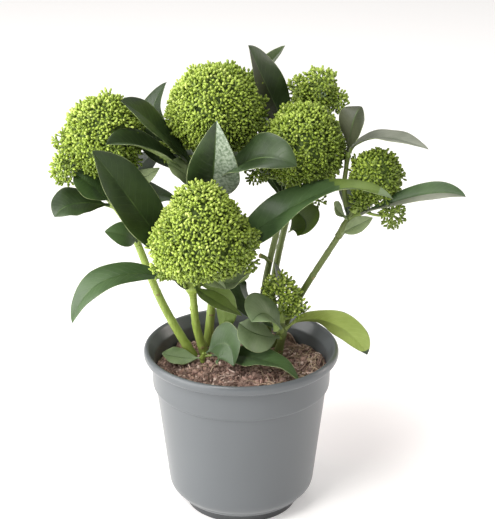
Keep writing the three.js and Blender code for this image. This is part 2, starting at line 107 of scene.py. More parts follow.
class Paint:
    """A material. `node` adds one node; the rest are the few that recur."""

    def __init__(self, name, sockets):
        self.material = bpy.data.materials.new(name)
        self.material.use_nodes = True
        self.tree = self.material.node_tree
        self.shader = self.tree.nodes["Principled BSDF"]
        self.finish(sockets)

    def _fill(self, node, inputs):
        for key, value in inputs.items():
            if isinstance(value, Wire):
                self.tree.links.new(value.socket, node.inputs[key])
            else:
                node.inputs[key].default_value = value

    def finish(self, sockets):
        """Sets or links sockets of the shader itself."""
        self._fill(self.shader, sockets)

    def node(self, kind, settings=None, inputs=None, out=0):
        """A node of that kind: its settings first, then its sockets' values or wires."""
        node = self.tree.nodes.new(kind)
        for key, value in (settings or {}).items():
            setattr(node, key, value)
        self._fill(node, inputs or {})
        return Wire(self, node.outputs[out])

    def place(self, scale=(1.0, 1.0, 1.0)):
        """The point on the piece, stretched by `scale`."""
        point = self.node("ShaderNodeTexCoord", out="Object")
        return self.node("ShaderNodeMapping", {}, {"Vector": point, "Scale": scale})

    def part(self, vector, axis):
        """One of the X, Y and Z of a vector."""
        return self.node("ShaderNodeSeparateXYZ", {}, {0: vector}, out=axis)

    def noise(self, scale, detail=3.0, rough=0.5, stretch=(1.0, 1.0, 1.0)):
        """Soft noise of that many lumps a metre, from 0 to 1."""
        inputs = {"Vector": self.place(stretch), "Scale": scale, "Detail": detail, "Roughness": rough}
        return self.node("ShaderNodeTexNoise", {}, inputs)

    def mix(self, share, first, second):
        """Colour `first` where share is 0, `second` where it is 1: wires or shades."""
        first, second = (tone if isinstance(tone, Wire) else shade(tone) for tone in (first, second))
        return self.node("ShaderNodeMix", {"data_type": "RGBA"}, {0: share, 6: first, 7: second}, out=2)

    def bump(self, height, strength, distance):
        """The normal of a surface raised by `height`, `distance` metres at most."""
        inputs = {"Height": height, "Strength": strength, "Distance": distance}
        return self.node("ShaderNodeBump", {}, inputs)


class Heap:
    """Points in millimetres and their faces, gathered and then made one mesh."""

    def __init__(self):
        self.points = []
        self.faces = []
        self.slots = []
        self.marks = []
        self.base = 0
        self.count = 0

    def add(self, points, faces, slot=0, mark=None):
        """Points (n, 3), faces (m, 3 or 4) into them, a slot for all or each face,
        and a mark (n, 2), which becomes the UV map."""
        points = np.reshape(points, (-1, 3))
        self.points.append(points)
        self.marks.append(np.zeros((len(points), 2)) if mark is None else mark)
        self.base = self.count
        self.count += len(points)
        self.close(faces, slot)

    def close(self, faces, slot=0):
        """More faces into the points that were added last."""
        self.faces.append(np.asarray(faces) + self.base)
        self.slots.append(np.broadcast_to(slot, (len(faces),)))

    def piece(self, name, paints, smooth=True):
        """One object of that name, its mesh in metres, with these finishes."""
        mesh = bpy.data.meshes.new(name)
        corners = np.concatenate([faces.ravel() for faces in self.faces])
        sizes = np.concatenate([np.full(len(faces), faces.shape[1]) for faces in self.faces])
        starts = np.concatenate([[0], np.cumsum(sizes)[:-1]])
        mesh.vertices.add(self.count)
        points = np.concatenate(self.points) * 0.001
        mesh.vertices.foreach_set("co", points.astype(np.float32).ravel())
        mesh.loops.add(len(corners))
        mesh.loops.foreach_set("vertex_index", corners.astype(np.int32))
        mesh.polygons.add(len(sizes))
        mesh.polygons.foreach_set("loop_start", starts.astype(np.int32))
        mesh.polygons.foreach_set("material_index", np.concatenate(self.slots).astype(np.int32))
        mesh.polygons.foreach_set("use_smooth", np.full(len(sizes), smooth))
        mark = np.concatenate(self.marks)[corners]
        mesh.uv_layers.new(name="UVMap").data.foreach_set("uv", mark.astype(np.float32).ravel())
        for paint in paints:
            mesh.materials.append(paint.material)
        mesh.update(calc_edges=True)
        made = bpy.data.objects.new(name, mesh)
        bpy.context.scene.collection.objects.link(made)
        return made


FLOOR_HALF = 20000.0
FLOOR_SHADOW_AT = (0.085, 0.09, 0.0)  # the middle of a painted soft shadow beside the pot, in metres

floor_heap = Heap()
floor_heap.add(
    [[x * FLOOR_HALF, y * FLOOR_HALF, 0.0] for x, y in ((-1, -1), (1, -1), (1, 1), (-1, 1))],
    [[0, 1, 2, 3]],
)
floor_paint = Paint("floor_card", {
    "Roughness": 0.6, "Emission Color": (1.0, 0.985, 0.975, 1.0), "Emission Strength": 0.27,
})
floor_ends = {0: floor_paint.place(), 1: FLOOR_SHADOW_AT}
floor_from_shadow = floor_paint.node("ShaderNodeVectorMath", {"operation": "DISTANCE"}, floor_ends, out="Value")
# Painted shadow: the card grows darker towards that middle, a soft cast shadow painted into its colour.
floor_tone_with_shadow = floor_paint.mix(floor_from_shadow.band(0.01, 0.13), (216, 209, 208), (250, 248, 247))
floor_paint.finish({"Base Color": floor_tone_with_shadow})
floor = floor_heap.piece("floor", [floor_paint])

world = bpy.data.worlds.new("surround")
bpy.context.scene.world = world
world.use_nodes = True
background = world.node_tree.nodes["Background"]
background.inputs["Color"].default_value = (1.0, 0.99, 0.98, 1.0)
background.inputs["Strength"].default_value = 0.4


def lamp(name, spot, target, size, power, color):
    """A soft square lamp at `spot` that faces `target`, all in metres."""
    data = bpy.data.lights.new(name, "AREA")
    data.shape = "RECTANGLE"
    data.size, data.size_y = size
    data.energy = power
    data.color = color
    made = bpy.data.objects.new(name, data)
    away = np.array(spot) - np.array(target)
    flat = np.hypot(away[0], away[1])
    made.location = spot
    made.rotation_euler = (np.arctan2(flat, away[2]), 0.0, np.arctan2(away[1], away[0]) + np.pi / 2)
    bpy.context.scene.collection.objects.link(made)


lamp("lamp_window", (-1.3, -0.53, 0.6), (0, 0, 0.16), (2.0, 1.2), 36.0, (1.0, 0.995, 0.98))
lamp("lamp_key", (-0.55, -0.95, 1.45), (0, 0, 0.2), (0.5, 0.5), 13.0, (1.0, 0.985, 0.96))
lamp("lamp_top", (-0.2, 0.6, 1.6), (0, 0, 0.2), (1.2, 0.8), 10.0, (1.0, 1.0, 1.0))
lamp("lamp_rim", (1.25, 0.35, 0.35), (0, 0, 0.08), (0.3, 0.7), 4.0, (1.0, 0.92, 0.86))


# ------------------------------------------------------------------ nursery pot
# A thin moulded pot in grey plastic, satin outside, with a rolled lip, a plain
# band under it, a tapering wall and a small foot with drain holes.

POT_PROFILE = [
    (0.0, 1.2), (33.5, 1.2), (35.0, 0.0), (37.5, 0.0), (37.5, 4.8), (40.2, 6.0),
    (47.8, 13.6), (49.0, 17.0), (57.1, 86.4), (58.9, 87.3), (59.3, 88.8), (59.9, 106.2),
    (63.9, 107.2), (65.0, 109.0), (65.0, 112.2), (63.6, 114.0), (61.9, 113.5),
    (60.6, 111.0), (57.6, 106.0), (56.8, 88.0), (46.6, 15.0), (44.0, 9.0), (35.6, 3.2), (0.0, 3.0),
]
POT_BENDS = [
    0, 0.5, 0.8, 0.8, 0.5, 1.0, 2.5, 2.5, 0.6, 0.5, 0.6, 0.7,
    0.8, 1.2, 1.3, 1.1, 1.0, 1.5, 1.5, 1.5, 2.0, 2.0, 1.0, 0,
]
POT_TURNS = 144
DRAIN = {"holes": 6, "radius": 4.0, "circle": 26.0, "low": -4.0, "high": 8.0, "sides": 24}


def joins(made, slot, *nodes):
    """The piece rides with the plant and stands for those nodes; `slot` is not used."""
    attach(made, "root")
    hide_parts(*nodes)


def bent(start, pull, end, share):
    """The quadratic curve from start to end that is pulled towards a point between,
    at a share of its run."""
    return (1 - share) ** 2 * start + 2 * share * (1 - share) * pull + share**2 * end


def softened(corners, bends, steps=5):
    """The line through corners, each rounded by a quadratic curve that leaves and
    rejoins its two sides at the bend's distance, or at 0.45 of a shorter side."""
    corners = np.array(corners, float)
    line = [corners[0]]
    for before, corner, after, bend in zip(corners, corners[1:], corners[2:], bends[1:]):
        back, ahead = before - corner, after - corner
        lengths = np.hypot(*back), np.hypot(*ahead)
        start = corner + back / lengths[0] * min(bend, 0.45 * lengths[0])
        end = corner + ahead / lengths[1] * min(bend, 0.45 * lengths[1])
        share = np.linspace(0, 1, steps)[:, None]
        line.extend(bent(start, corner, end, share))
    line.append(corners[-1])
    return np.array(line)


def wrapped(rows, around):
    """Quads of a grid of rows whose points run anticlockwise round the way of travel."""
    first = np.arange(rows - 1)[:, None] * around + np.arange(around)
    ahead = np.arange(rows - 1)[:, None] * around + (np.arange(around) + 1) % around
    return np.stack([first, ahead, ahead + around, first + around], -1).reshape(-1, 4)


def fans(rows, around):
    """Triangles that close such a grid's first and last rows, each to one of the two
    points that follow the grid."""
    here = np.arange(around)
    ahead = (here + 1) % around
    last = (rows - 1) * around
    first_fan = np.stack([np.full(around, rows * around), ahead, here], -1)
    last_fan = np.stack([np.full(around, rows * around + 1), last + here, last + ahead], -1)
    return np.concatenate([first_fan, last_fan])


def skin(heap, rings, ends, slot=0, end_slot=0, mark=None):
    """Adds rings (rows, around, 3) as one closed skin with a point at each end."""
    rows, around = rings.shape[:2]
    heap.add(np.concatenate([rings.reshape(-1, 3), ends]), wrapped(rows, around), slot, mark)
    heap.close(fans(rows, around), end_slot)


def turned(profile, turns):
    """Points (rows, turns, 3) of a profile of (radius, height) turned about Z."""
    angle = np.arange(turns) / turns * 2 * np.pi
    radius, height = profile[:, :1], profile[:, 1:]
    return np.stack([radius * np.cos(angle), radius * np.sin(angle), height + 0 * angle], -1)


pot_line = softened(POT_PROFILE, POT_BENDS)
pot_heap = Heap()
pot_ends = [[0, 0, pot_line[0, 1]], [0, 0, pot_line[-1, 1]]]
skin(pot_heap, turned(pot_line[1:-1], POT_TURNS), pot_ends)

pot_paint = Paint("pot_plastic", {"IOR": 1.5})
pot_haze = pot_paint.noise(9.0, 3.0, 0.55, (1.0, 1.0, 0.5))
pot_grain = pot_paint.noise(2600.0, 2.0, 0.6)
pot_height = pot_paint.part(pot_paint.place(), "Z")
# Painted shade: the pot's lowest few millimetres, round and under its foot, darker grey.
pot_foot_shade = (1 - pot_height.band(0.002, 0.009)) * 0.85
pot_tone = pot_paint.mix(pot_haze.band(0.3, 0.7), (91, 95, 98), (97, 101, 104))
pot_tone = pot_paint.mix(pot_foot_shade, pot_tone, (50, 51, 53))
pot_paint.finish({
    "Base Color": pot_tone,
    "Roughness": 0.26 + pot_haze * 0.12,
    "Normal": pot_paint.bump(pot_grain, 0.25, 0.00005),
})
pot_piece = pot_heap.piece("pot_moulding", [pot_paint])

drill_heap = Heap()
drill_wall = np.array([[DRAIN["radius"], DRAIN["low"]], [DRAIN["radius"], DRAIN["high"]]])
drill_end = np.arange(DRAIN["sides"])
for hole in range(DRAIN["holes"]):
    turn = hole / DRAIN["holes"] * 2 * np.pi
    wall = turned(drill_wall, DRAIN["sides"])
    wall[..., :2] += DRAIN["circle"] * np.array([np.cos(turn), np.sin(turn)])
    drill_heap.add(wall, wrapped(2, DRAIN["sides"]))
    drill_heap.close(drill_end[::-1][None])
    drill_heap.close((drill_end + DRAIN["sides"])[None])
drills = drill_heap.piece("drills", [])
cut = pot_piece.modifiers.new("drain", "BOOLEAN")
cut.operation = "DIFFERENCE"
cut.object = drills
cut.solver = "EXACT"
bpy.context.view_layer.update()
pot_drilled = pot_piece.evaluated_get(bpy.context.evaluated_depsgraph_get())
pot_cut = bpy.data.meshes.new_from_object(pot_drilled)
pot_piece.modifiers.clear()
pot_piece.data = pot_cut
bpy.data.objects.remove(drills)
joins(pot_piece, "pot", "pot")


# ------------------------------------------------------------------ compost
# Bark and coir compost that fills the pot to a little under its lip: a lumpy
# top, loose crumbs in several browns, and curled strands of coir.

SOIL_LEVEL = 100.0
SOIL_RADIUS = 57.1
SOIL_WALL = np.array([[35.0, 3.4], [46.0, 16.0], [56.2, 88.0]])
SOIL_RINGS = 74
SOIL_TURNS = 150
SOIL_FEET = np.array([
    [-32.5, 10.5], [-24.5, 13], [-23, 30], [12, 22], [17, 33], [21, 24], [24, 8], [-26, 2],
])


def lumps(x, y, waves=46, seed=5):
    """Rolling ground: waves of random heading and of 5 to 40 mm, added up."""
    rng = np.random.default_rng(seed)
    way = rng.uniform(0, 2 * np.pi, waves)
    length = rng.uniform(5.0, 40.0, waves)
    start = rng.uniform(0, 2 * np.pi, waves)
    run = x[..., None] * np.cos(way) + y[..., None] * np.sin(way)
    return (np.sin(run / length * 2 * np.pi + start) * length**0.7).sum(-1) / waves


def soil_height(x, y):
    """Height of the compost's top: lumps, level at the stems' feet, low by the wall."""
    gap = np.hypot(x[..., None] - SOIL_FEET[:, 0], y[..., None] - SOIL_FEET[:, 1]).min(-1)
    calm = np.clip((gap - 4) / 16, 0, 1)
    edge = np.clip((np.hypot(x, y) - 46) / 12, 0, 1)
    return SOIL_LEVEL - 0.2 - 1.0 * calm + 1.25 * lumps(x, y) * calm - 1.8 * edge**2


def spun(count, rng):
    """Random turns as matrices, from random unit quaternions."""
    q = rng.normal(size=(count, 4))
    w, x, y, z = (q / np.linalg.norm(q, axis=1, keepdims=True)).T
    rows = [
        [1 - 2 * (y * y + z * z), 2 * (x * y - w * z), 2 * (x * z + w * y)],
        [2 * (x * y + w * z), 1 - 2 * (x * x + z * z), 2 * (y * z - w * x)],
        [2 * (x * z - w * y), 2 * (y * z + w * x), 1 - 2 * (x * x + y * y)],
    ]
    return np.moveaxis(np.array(rows), -1, 0)


def unit(vectors):
    """Vectors at length 1."""
    return vectors / np.maximum(np.linalg.norm(vectors, axis=-1, keepdims=True), 1e-9)


def tubes(lines, radii, sides):
    """Points and faces of round limbs: a circle of the radius carried square to
    each line (k, n, 3), with radii (k, n) or (n,), and closed by a point at each end."""
    lines = np.asarray(lines, float)
    count, steps = lines.shape[:2]
    radii = np.broadcast_to(radii, (count, steps))
    along = unit(np.gradient(lines, axis=1))
    chord = unit(lines[:, -1] - lines[:, 0])
    aid = np.eye(3)[np.abs(chord).argmin(-1)][:, None]
    first = unit(np.cross(aid, along))
    second = np.cross(along, first)
    angle = (np.arange(sides) / sides * 2 * np.pi)[:, None]
    circle = first[:, :, None] * np.cos(angle) + second[:, :, None] * np.sin(angle)
    rings = (lines[:, :, None] + circle * radii[:, :, None, None]).reshape(count, -1, 3)
    points = np.concatenate([rings, lines[:, :1], lines[:, -1:]], 1)
    step = (np.arange(count) * points.shape[1])[:, None, None]
    walls = (wrapped(steps, sides)[None] + step).reshape(-1, 4)
    caps = (fans(steps, sides)[None] + step).reshape(-1, 3)
    return points.reshape(-1, 3), walls, caps


def grow(heap, lines, radii, sides, slot=0):
    """Adds round limbs to a heap, with one slot for them all or one for each."""
    points, walls, caps = tubes(lines, radii, sides)
    slots = np.broadcast_to(slot, (len(lines),))
    heap.add(points, walls, np.repeat(slots, len(walls) // len(lines)))
    heap.close(caps, np.repeat(slots, len(caps) // len(lines)))


CRUMB_LEVEL = 0.447


def crumb_ball():
    """An icosahedron, round Z: a top, five points at CRUMB_LEVEL, five as far below
    and half a step on, and a bottom; with the four belts of its faces."""
    turn = np.arange(5) * 2 * np.pi / 5
    belts = [[np.cos(turn + on), np.sin(turn + on), 0 * turn] for on in (0, np.pi / 5)]
    belts = np.round(np.array(belts) * 2 / 5**0.5, 3)
    belts[:, 2] = [[CRUMB_LEVEL], [-CRUMB_LEVEL]]
    points = np.concatenate([[[0, 0, 1]], *belts.transpose(0, 2, 1), [[0, 0, -1]]])
    here = np.arange(5) + 1
    ahead = np.roll(here, -1)
    top = [0 * here, here, ahead]
    bottom = [0 * here + 11, ahead + 5, here + 5]
    faces = [top, [here, here + 5, ahead], [ahead, here + 5, ahead + 5], bottom]
    return points, np.concatenate([np.stack(belt, -1) for belt in faces])


def soil_paint(name, dark, light):
    """Rough earth that wanders between two browns, with fine crumbly relief."""
    paint = Paint(name, {"Specular IOR Level": 0.25, "Roughness": 0.95})
    patch = paint.noise(240.0, 4.0, 0.6).band(0.35, 0.65)
    paint.finish({
        "Base Color": paint.mix(patch, dark, light),
        "Normal": paint.bump(paint.noise(900.0, 4.0, 0.7), 0.7, 0.0006),
    })
    return paint


SOIL_TONES = {
    "compost_dark": ((112, 90, 82), (138, 116, 106)),
    "compost_red": ((156, 124, 112), (184, 152, 140)),
    "compost_bark": ((132, 108, 98), (160, 134, 122)),
    "compost_pale": ((190, 164, 152), (216, 194, 182)),
    "coir_strand": ((146, 124, 106), (184, 162, 140)),
}
soil_paints = [soil_paint(name, *browns) for name, browns in SOIL_TONES.items()]

soil_rng = np.random.default_rng(17)
soil_heap = Heap()
soil_radius = np.linspace(0.0, 1.0, SOIL_RINGS + 1)[1:] ** 0.8 * SOIL_RADIUS
soil_top = turned(np.stack([soil_radius, 0 * soil_radius], -1), SOIL_TURNS)
soil_top[..., 2] = soil_height(soil_top[..., 0], soil_top[..., 1])
soil_rings = np.concatenate([turned(SOIL_WALL, SOIL_TURNS), soil_top[::-1]])
skin(soil_heap, soil_rings, [[0, 0, SOIL_WALL[0, 1]], [0, 0, SOIL_LEVEL - 0.9]])
joins(soil_heap.piece("compost", soil_paints[:1]), "soil", "soil")

CRUMB_COUNT = 3600
CRUMB_KINDS = [0.3, 0.34, 0.26, 0.1]  # the shares of dark, red, bark and pale

crumb_points, crumb_faces = crumb_ball()
crumb_far = np.sqrt(soil_rng.uniform(0, 1, CRUMB_COUNT)) * (SOIL_RADIUS - 1.5)
crumb_turn = soil_rng.uniform(0, 2 * np.pi, CRUMB_COUNT)
crumb_x, crumb_y = crumb_far * np.cos(crumb_turn), crumb_far * np.sin(crumb_turn)
crumb_size = soil_rng.gamma(4.0, 0.17, CRUMB_COUNT) + 0.4
crumb_at = np.stack([crumb_x, crumb_y, soil_height(crumb_x, crumb_y) + 0.35 * crumb_size], -1)
crumb_shape = crumb_points * soil_rng.uniform(0.55, 1.25, (CRUMB_COUNT, 1, 3))
crumb_shape *= soil_rng.uniform(0.8, 1.15, (CRUMB_COUNT, len(crumb_points), 1))
crumb_shape = np.einsum("kij,knj->kni", spun(CRUMB_COUNT, soil_rng), crumb_shape)
crumb_shape = crumb_shape * crumb_size[:, None, None] + crumb_at[:, None]
crumb_shape[..., 2] = np.minimum(crumb_shape[..., 2], SOIL_LEVEL + 4.5)
crumb_base = (np.arange(CRUMB_COUNT) * len(crumb_points))[:, None, None]
crumb_kind = np.repeat(soil_rng.choice(4, CRUMB_COUNT, p=CRUMB_KINDS), len(crumb_faces))
crumb_heap = Heap()
crumb_heap.add(crumb_shape, (crumb_faces + crumb_base).reshape(-1, 3), crumb_kind)
joins(crumb_heap.piece("compost_crumbs", soil_paints, smooth=False), "soil", "soil")

COIR_COUNT = 230
COIR_RUN = np.linspace(-0.5, 0.5, 11)
COIR_TONES, COIR_SHARES = [4, 2, 3], [0.55, 0.3, 0.15]  # coir, bark and pale
COIR_RIGHT = 0.78  # the share that lies on the right of the pot
COIR_REACH = 53.0

coir_right = soil_rng.uniform(0, 1, COIR_COUNT) < COIR_RIGHT
coir_sides = soil_rng.uniform(14, 52, COIR_COUNT), soil_rng.uniform(-50, 20, COIR_COUNT)
coir_x = np.where(coir_right, *coir_sides)
coir_y = soil_rng.uniform(-1, 1, COIR_COUNT) * np.sqrt(np.maximum(COIR_REACH**2 - coir_x**2, 0))
coir_way = soil_rng.uniform(0, np.pi, COIR_COUNT)[:, None]
coir_long = soil_rng.uniform(6, 17, COIR_COUNT)[:, None]
coir_curl = soil_rng.uniform(-0.9, 0.9, COIR_COUNT)[:, None]
coir_bend = coir_way + coir_curl * COIR_RUN * 2
coir_step = coir_long / (len(COIR_RUN) - 1)
coir_half = coir_long / 2
coir_px = coir_x[:, None] + np.cumsum(np.cos(coir_bend) * coir_step, 1) - coir_half * np.cos(coir_way)
coir_py = coir_y[:, None] + np.cumsum(np.sin(coir_bend) * coir_step, 1) - coir_half * np.sin(coir_way)
coir_pull = np.minimum(1.0, (SOIL_RADIUS - 1.8) / np.maximum(np.hypot(coir_px, coir_py), 1e-6))
coir_px, coir_py = coir_px * coir_pull, coir_py * coir_pull
coir_arch = soil_rng.uniform(0.4, 2.6, COIR_COUNT)[:, None] * (1 - (2 * COIR_RUN) ** 2)
coir_pz = soil_height(coir_px, coir_py) + 0.5 + coir_arch
coir_radius = soil_rng.uniform(0.28, 0.62, COIR_COUNT)[:, None] * (1.05 - 0.8 * np.abs(COIR_RUN) ** 2)
coir_kind = soil_rng.choice(COIR_TONES, COIR_COUNT, p=COIR_SHARES)
coir_heap = Heap()
grow(coir_heap, np.stack([coir_px, coir_py, coir_pz], -1), coir_radius, 5, coir_kind)
joins(coir_heap.piece("compost_coir", soil_paints), "soil", "soil")


# ------------------------------------------------------------------ stems
# Green shoots as thick as a pencil's core. Each swells a little at its foot and
# at the scars that old leaves left, and carries on through its whorl of leaves.

# A shoot rises from its foot, or from a point of another shoot, bows out by `bow` on
# its way to its tip, and carries a leafy top from there to `top`. `thick` scales its
# girth, `slim` also its rings and its top, and `flare` is how far that top swells.
SOIL_GAP = 0.3
STEMS = {
    "left": {"foot": (-32.5, 10.5), "tip": (-67.5, 8.5, 182), "bow": (-3, 0), "top": (-89, 11, 217)},
    "front": {
        "foot": (-24.5, 13), "tip": (-31.5, -3, 150), "bow": (-2, 1), "top": (-30, -8, 170), "flare": 3.4,
    },
    "middle": {"foot": (-23, 30), "tip": (-21, 21, 203), "bow": (3, 0), "top": (-19, 26, 232)},
    "back": {"foot": (12, 22), "tip": (26, 24, 196), "bow": (-3, 0), "top": (32, 22, 222), "thick": 0.82},
    "far": {"foot": (17, 33), "tip": (37, 44, 214), "bow": (-3, 0), "top": (44, 49, 242), "thick": 0.82},
    "right": {"foot": (21, 24), "tip": (63.5, 8, 188), "bow": (-2, 0), "top": (73, 6, 206), "thick": 0.8},
    "low": {"foot": (24, 8), "tip": (27, 4, 116), "bow": (0, 0), "top": (27, 5, 129)},
    "upper": {
        "from": (68.5, 8, 209), "tip": (68, 12, 234), "bow": (-1.5, 0), "top": (70, 14, 247), "slim": 0.6,
    },
    "basal": {"foot": (-26, 2), "top": (-25, 0, 108), "slim": 0.62},
}
# The shares of each shoot's length at which an old leaf left a ring and a scar.
STEM_RINGS = {
    "left": (0.12, 0.34, 0.6, 0.8), "front": (0.2, 0.55, 0.83), "middle": (0.25, 0.5, 0.72, 0.88),
    "back": (0.2, 0.45, 0.68, 0.86), "far": (0.3, 0.6, 0.84), "right": (0.18, 0.42, 0.66, 0.86),
    "low": (0.6,), "upper": (0.5,),
}
STEM_STEPS = {"foot": 90, "from": 26}
STEM_SIDES = 20
STEM_LOW, STEM_HIGH = 3.05, 2.45  # the radius at the foot and at the tip
STEM_TOP_STEPS = 40
STEM_STUB = np.array([(19.5, 22, 164), (16, 20.5, 168.5), (12.5, 19, 170.5)])
SCAR_TURN = 2.4
SCAR_RISE = 0.55
SCAR_SHOWS = 0.55


def catmull(points):
    """A curve through three points as a function of t from 0 to 1: a cubic between
    neighbours whose slopes come from the square roots of their distances."""
    a, b, c = (np.array(p, float) for p in points)
    run = [2 * a - b, a, b, c, 2 * c - b]

    def cubic(p0, p1, p2, p3, w):
        d0, d1, d2 = (max(np.linalg.norm(q - p) ** 0.5, 1e-4) for p, q in ((p0, p1), (p1, p2), (p2, p3)))
        t1 = ((p1 - p0) / d0 - (p2 - p0) / (d0 + d1) + (p2 - p1) / d1) * d1
        t2 = ((p2 - p1) / d1 - (p3 - p1) / (d1 + d2) + (p3 - p2) / d2) * d1
        w = w[:, None]
        lift = (-3 * p1 + 3 * p2 - 2 * t1 - t2) * w**2 + (2 * p1 - 2 * p2 + t1 + t2) * w**3
        return p1 + t1 * w + lift

    def at(t):
        t = np.atleast_1d(np.asarray(t, float)) * 2
        early = cubic(*run[:4], np.minimum(t, 1))
        late = cubic(*run[1:], np.maximum(t - 1, 0))
        return np.where((t < 1)[:, None], early, late)

    return at


def evenly(curve, shares):
    """Points of a curve at shares of its length."""
    t = np.linspace(0, 1, 201)
    steps = np.linalg.norm(np.diff(curve(t), axis=0), axis=1)
    length = np.concatenate([[0], np.cumsum(steps)])
    return curve(np.interp(np.asarray(shares) * length[-1], length, t))


def stem_lines(stem):
    """The stem's own curve, if it has one, and the curve of its leafy top."""
    top = np.array(stem["top"], float)
    if "tip" not in stem:
        foot = np.array([*stem["foot"], SOIL_LEVEL + SOIL_GAP])
        onward = np.array([0, 0, 1.0])
        own = None
    else:
        tip = np.array(stem["tip"], float)
        start = np.array(stem.get("from", (*stem.get("foot", (0, 0)), SOIL_LEVEL + SOIL_GAP)), float)
        middle = (start + tip) / 2 + np.array([*stem["bow"], 0])
        own = catmull([start, middle, tip])
        onward = unit(own([1.0]) - own([0.9995]))[0]
        foot = tip + onward * SOIL_GAP
    rise = foot + onward * np.linalg.norm(top - foot) / 3
    return own, catmull([foot, rise, top])


stem_paint = Paint("stem_bark", {"Specular IOR Level": 0.45, "Coat Weight": 0.1, "Coat Roughness": 0.4})
stem_streak = stem_paint.noise(420.0, 4.0, 0.6, (1.0, 1.0, 0.12)).band(0.3, 0.7)
stem_patch = stem_paint.noise(60.0, 3.0, 0.5).band(0.35, 0.65)
stem_height = stem_paint.part(stem_paint.place(), "Z")
stem_shade_x = stem_paint.part(stem_paint.place(), "X")
stem_foot = 1 - stem_height.band(0.1, 0.122)
stem_tone = stem_paint.mix(stem_streak, (134, 156, 64), (168, 186, 98))
stem_tone = stem_paint.mix(stem_patch * 0.6, stem_tone, (150, 172, 76))
# Painted shade: shoots on the right of the plant, away from the lamps, turn darker olive.
stem_tone = stem_paint.mix(stem_shade_x.band(-0.012, 0.02) * 0.9, stem_tone, (92, 104, 52))
stem_tone = stem_paint.mix(stem_foot * 0.6, stem_tone, (92, 104, 46))
stem_paint.finish({
    "Base Color": stem_tone,
    "Roughness": 0.42 + stem_streak * 0.14,
    "Normal": stem_paint.bump(stem_streak, 0.35, 0.0004),
})


def patched(name, rough, noise, band, dark, light):
    """A plain skin whose colour wanders from dark to light in soft patches."""
    paint = Paint(name, {"Roughness": rough})
    paint.finish({"Base Color": paint.mix(paint.noise(*noise).band(*band), dark, light)})
    return paint


scar_paint = patched("stem_scar", 0.8, (700.0, 3.0, 0.6), (0.3, 0.7), (112, 104, 60), (164, 152, 104))

whorls = {}
for name, stem in STEMS.items():
    own, whorls[name] = stem_lines(stem)
    if own is None:
        continue
    rooted = "foot" in stem
    steps = STEM_STEPS["foot" if rooted else "from"]
    share = np.linspace(0, 1, steps)
    line = evenly(own, share)
    length = np.linalg.norm(np.diff(line, axis=0), axis=1).sum()
    slim = stem.get("slim", 1.0)
    radius = (STEM_LOW + (STEM_HIGH - STEM_LOW) * share) * stem.get("thick", 1.0)
    if rooted:
        radius = radius + 0.6 * np.exp(-share * length / 9.0)
    for ring in STEM_RINGS[name]:
        gap = (share - ring) * length
        radius = radius + 0.2 * np.exp(-((gap / 1.0) ** 2)) - 0.1 * np.exp(-(((gap - 2.8) / 2.0) ** 2))
    points, walls, caps = tubes(line[None], radius * slim, STEM_SIDES)
    grid = points[: steps * STEM_SIDES].reshape(steps, STEM_SIDES, 3)
    turn = np.arange(STEM_SIDES) / STEM_SIDES * 2 * np.pi
    scars = np.zeros((steps, STEM_SIDES))
    for number, ring in enumerate(STEM_RINGS[name]):
        side = (turn - number * SCAR_TURN + np.pi) % (2 * np.pi) - np.pi
        gap = (share - ring)[:, None] * length + 1.4
        scars += np.exp(-((gap / 1.3) ** 2) - (side / 0.55) ** 2)
    out = (grid - line[:, None]) / np.maximum(radius, 1)[:, None, None]
    grid += out * (scars * SCAR_RISE * slim)[..., None]
    stem_heap = Heap()
    stem_heap.add(points, walls, (scars[:-1] > SCAR_SHOWS).ravel())
    stem_heap.close(caps)
    if name == "back":
        points, walls, caps = tubes(STEM_STUB[None], np.array([1.5, 1.3, 1.7]), 12)
        stem_heap.add(points, walls)
        stem_heap.close(caps, 1)
    joins(stem_heap.piece("shoot_" + name, [stem_paint, scar_paint]), "stem", "stem_" + name)


# ------------------------------------------------------------------ leaves
# Leathery evergreen leaves in a whorl under each head. Each has a short stout
# petiole, a sunk midrib, two gently folded halves and a thin pale margin.

DARK, DEEP, FRESH, GREY, PALE, OLIVE, PAINTED_SHEEN, PAINTED_SHADE, MIST = range(9)
UNDER, MARGIN, MIDRIB, PETIOLE, STALK = range(9, 14)


def blade(up, over, tip, faces, wide, tone=DARK, **more):
    """One leaf: where it starts along its shoot's top, the point that pulls its curve
    over, its tip, the azimuth and rise that its face looks to, its width, and its
    upper tone. `more` may hold a root of its own, a second point `beyond` that pulls,
    twist and fold in degrees, a tone `under` it, a tone for one of its halves, the
    share at which it turns olive, a thinner neck, and the last steps that are dry."""
    return {"up": up, "over": over, "tip": tip, "faces": faces, "wide": wide, "tone": tone, **more}


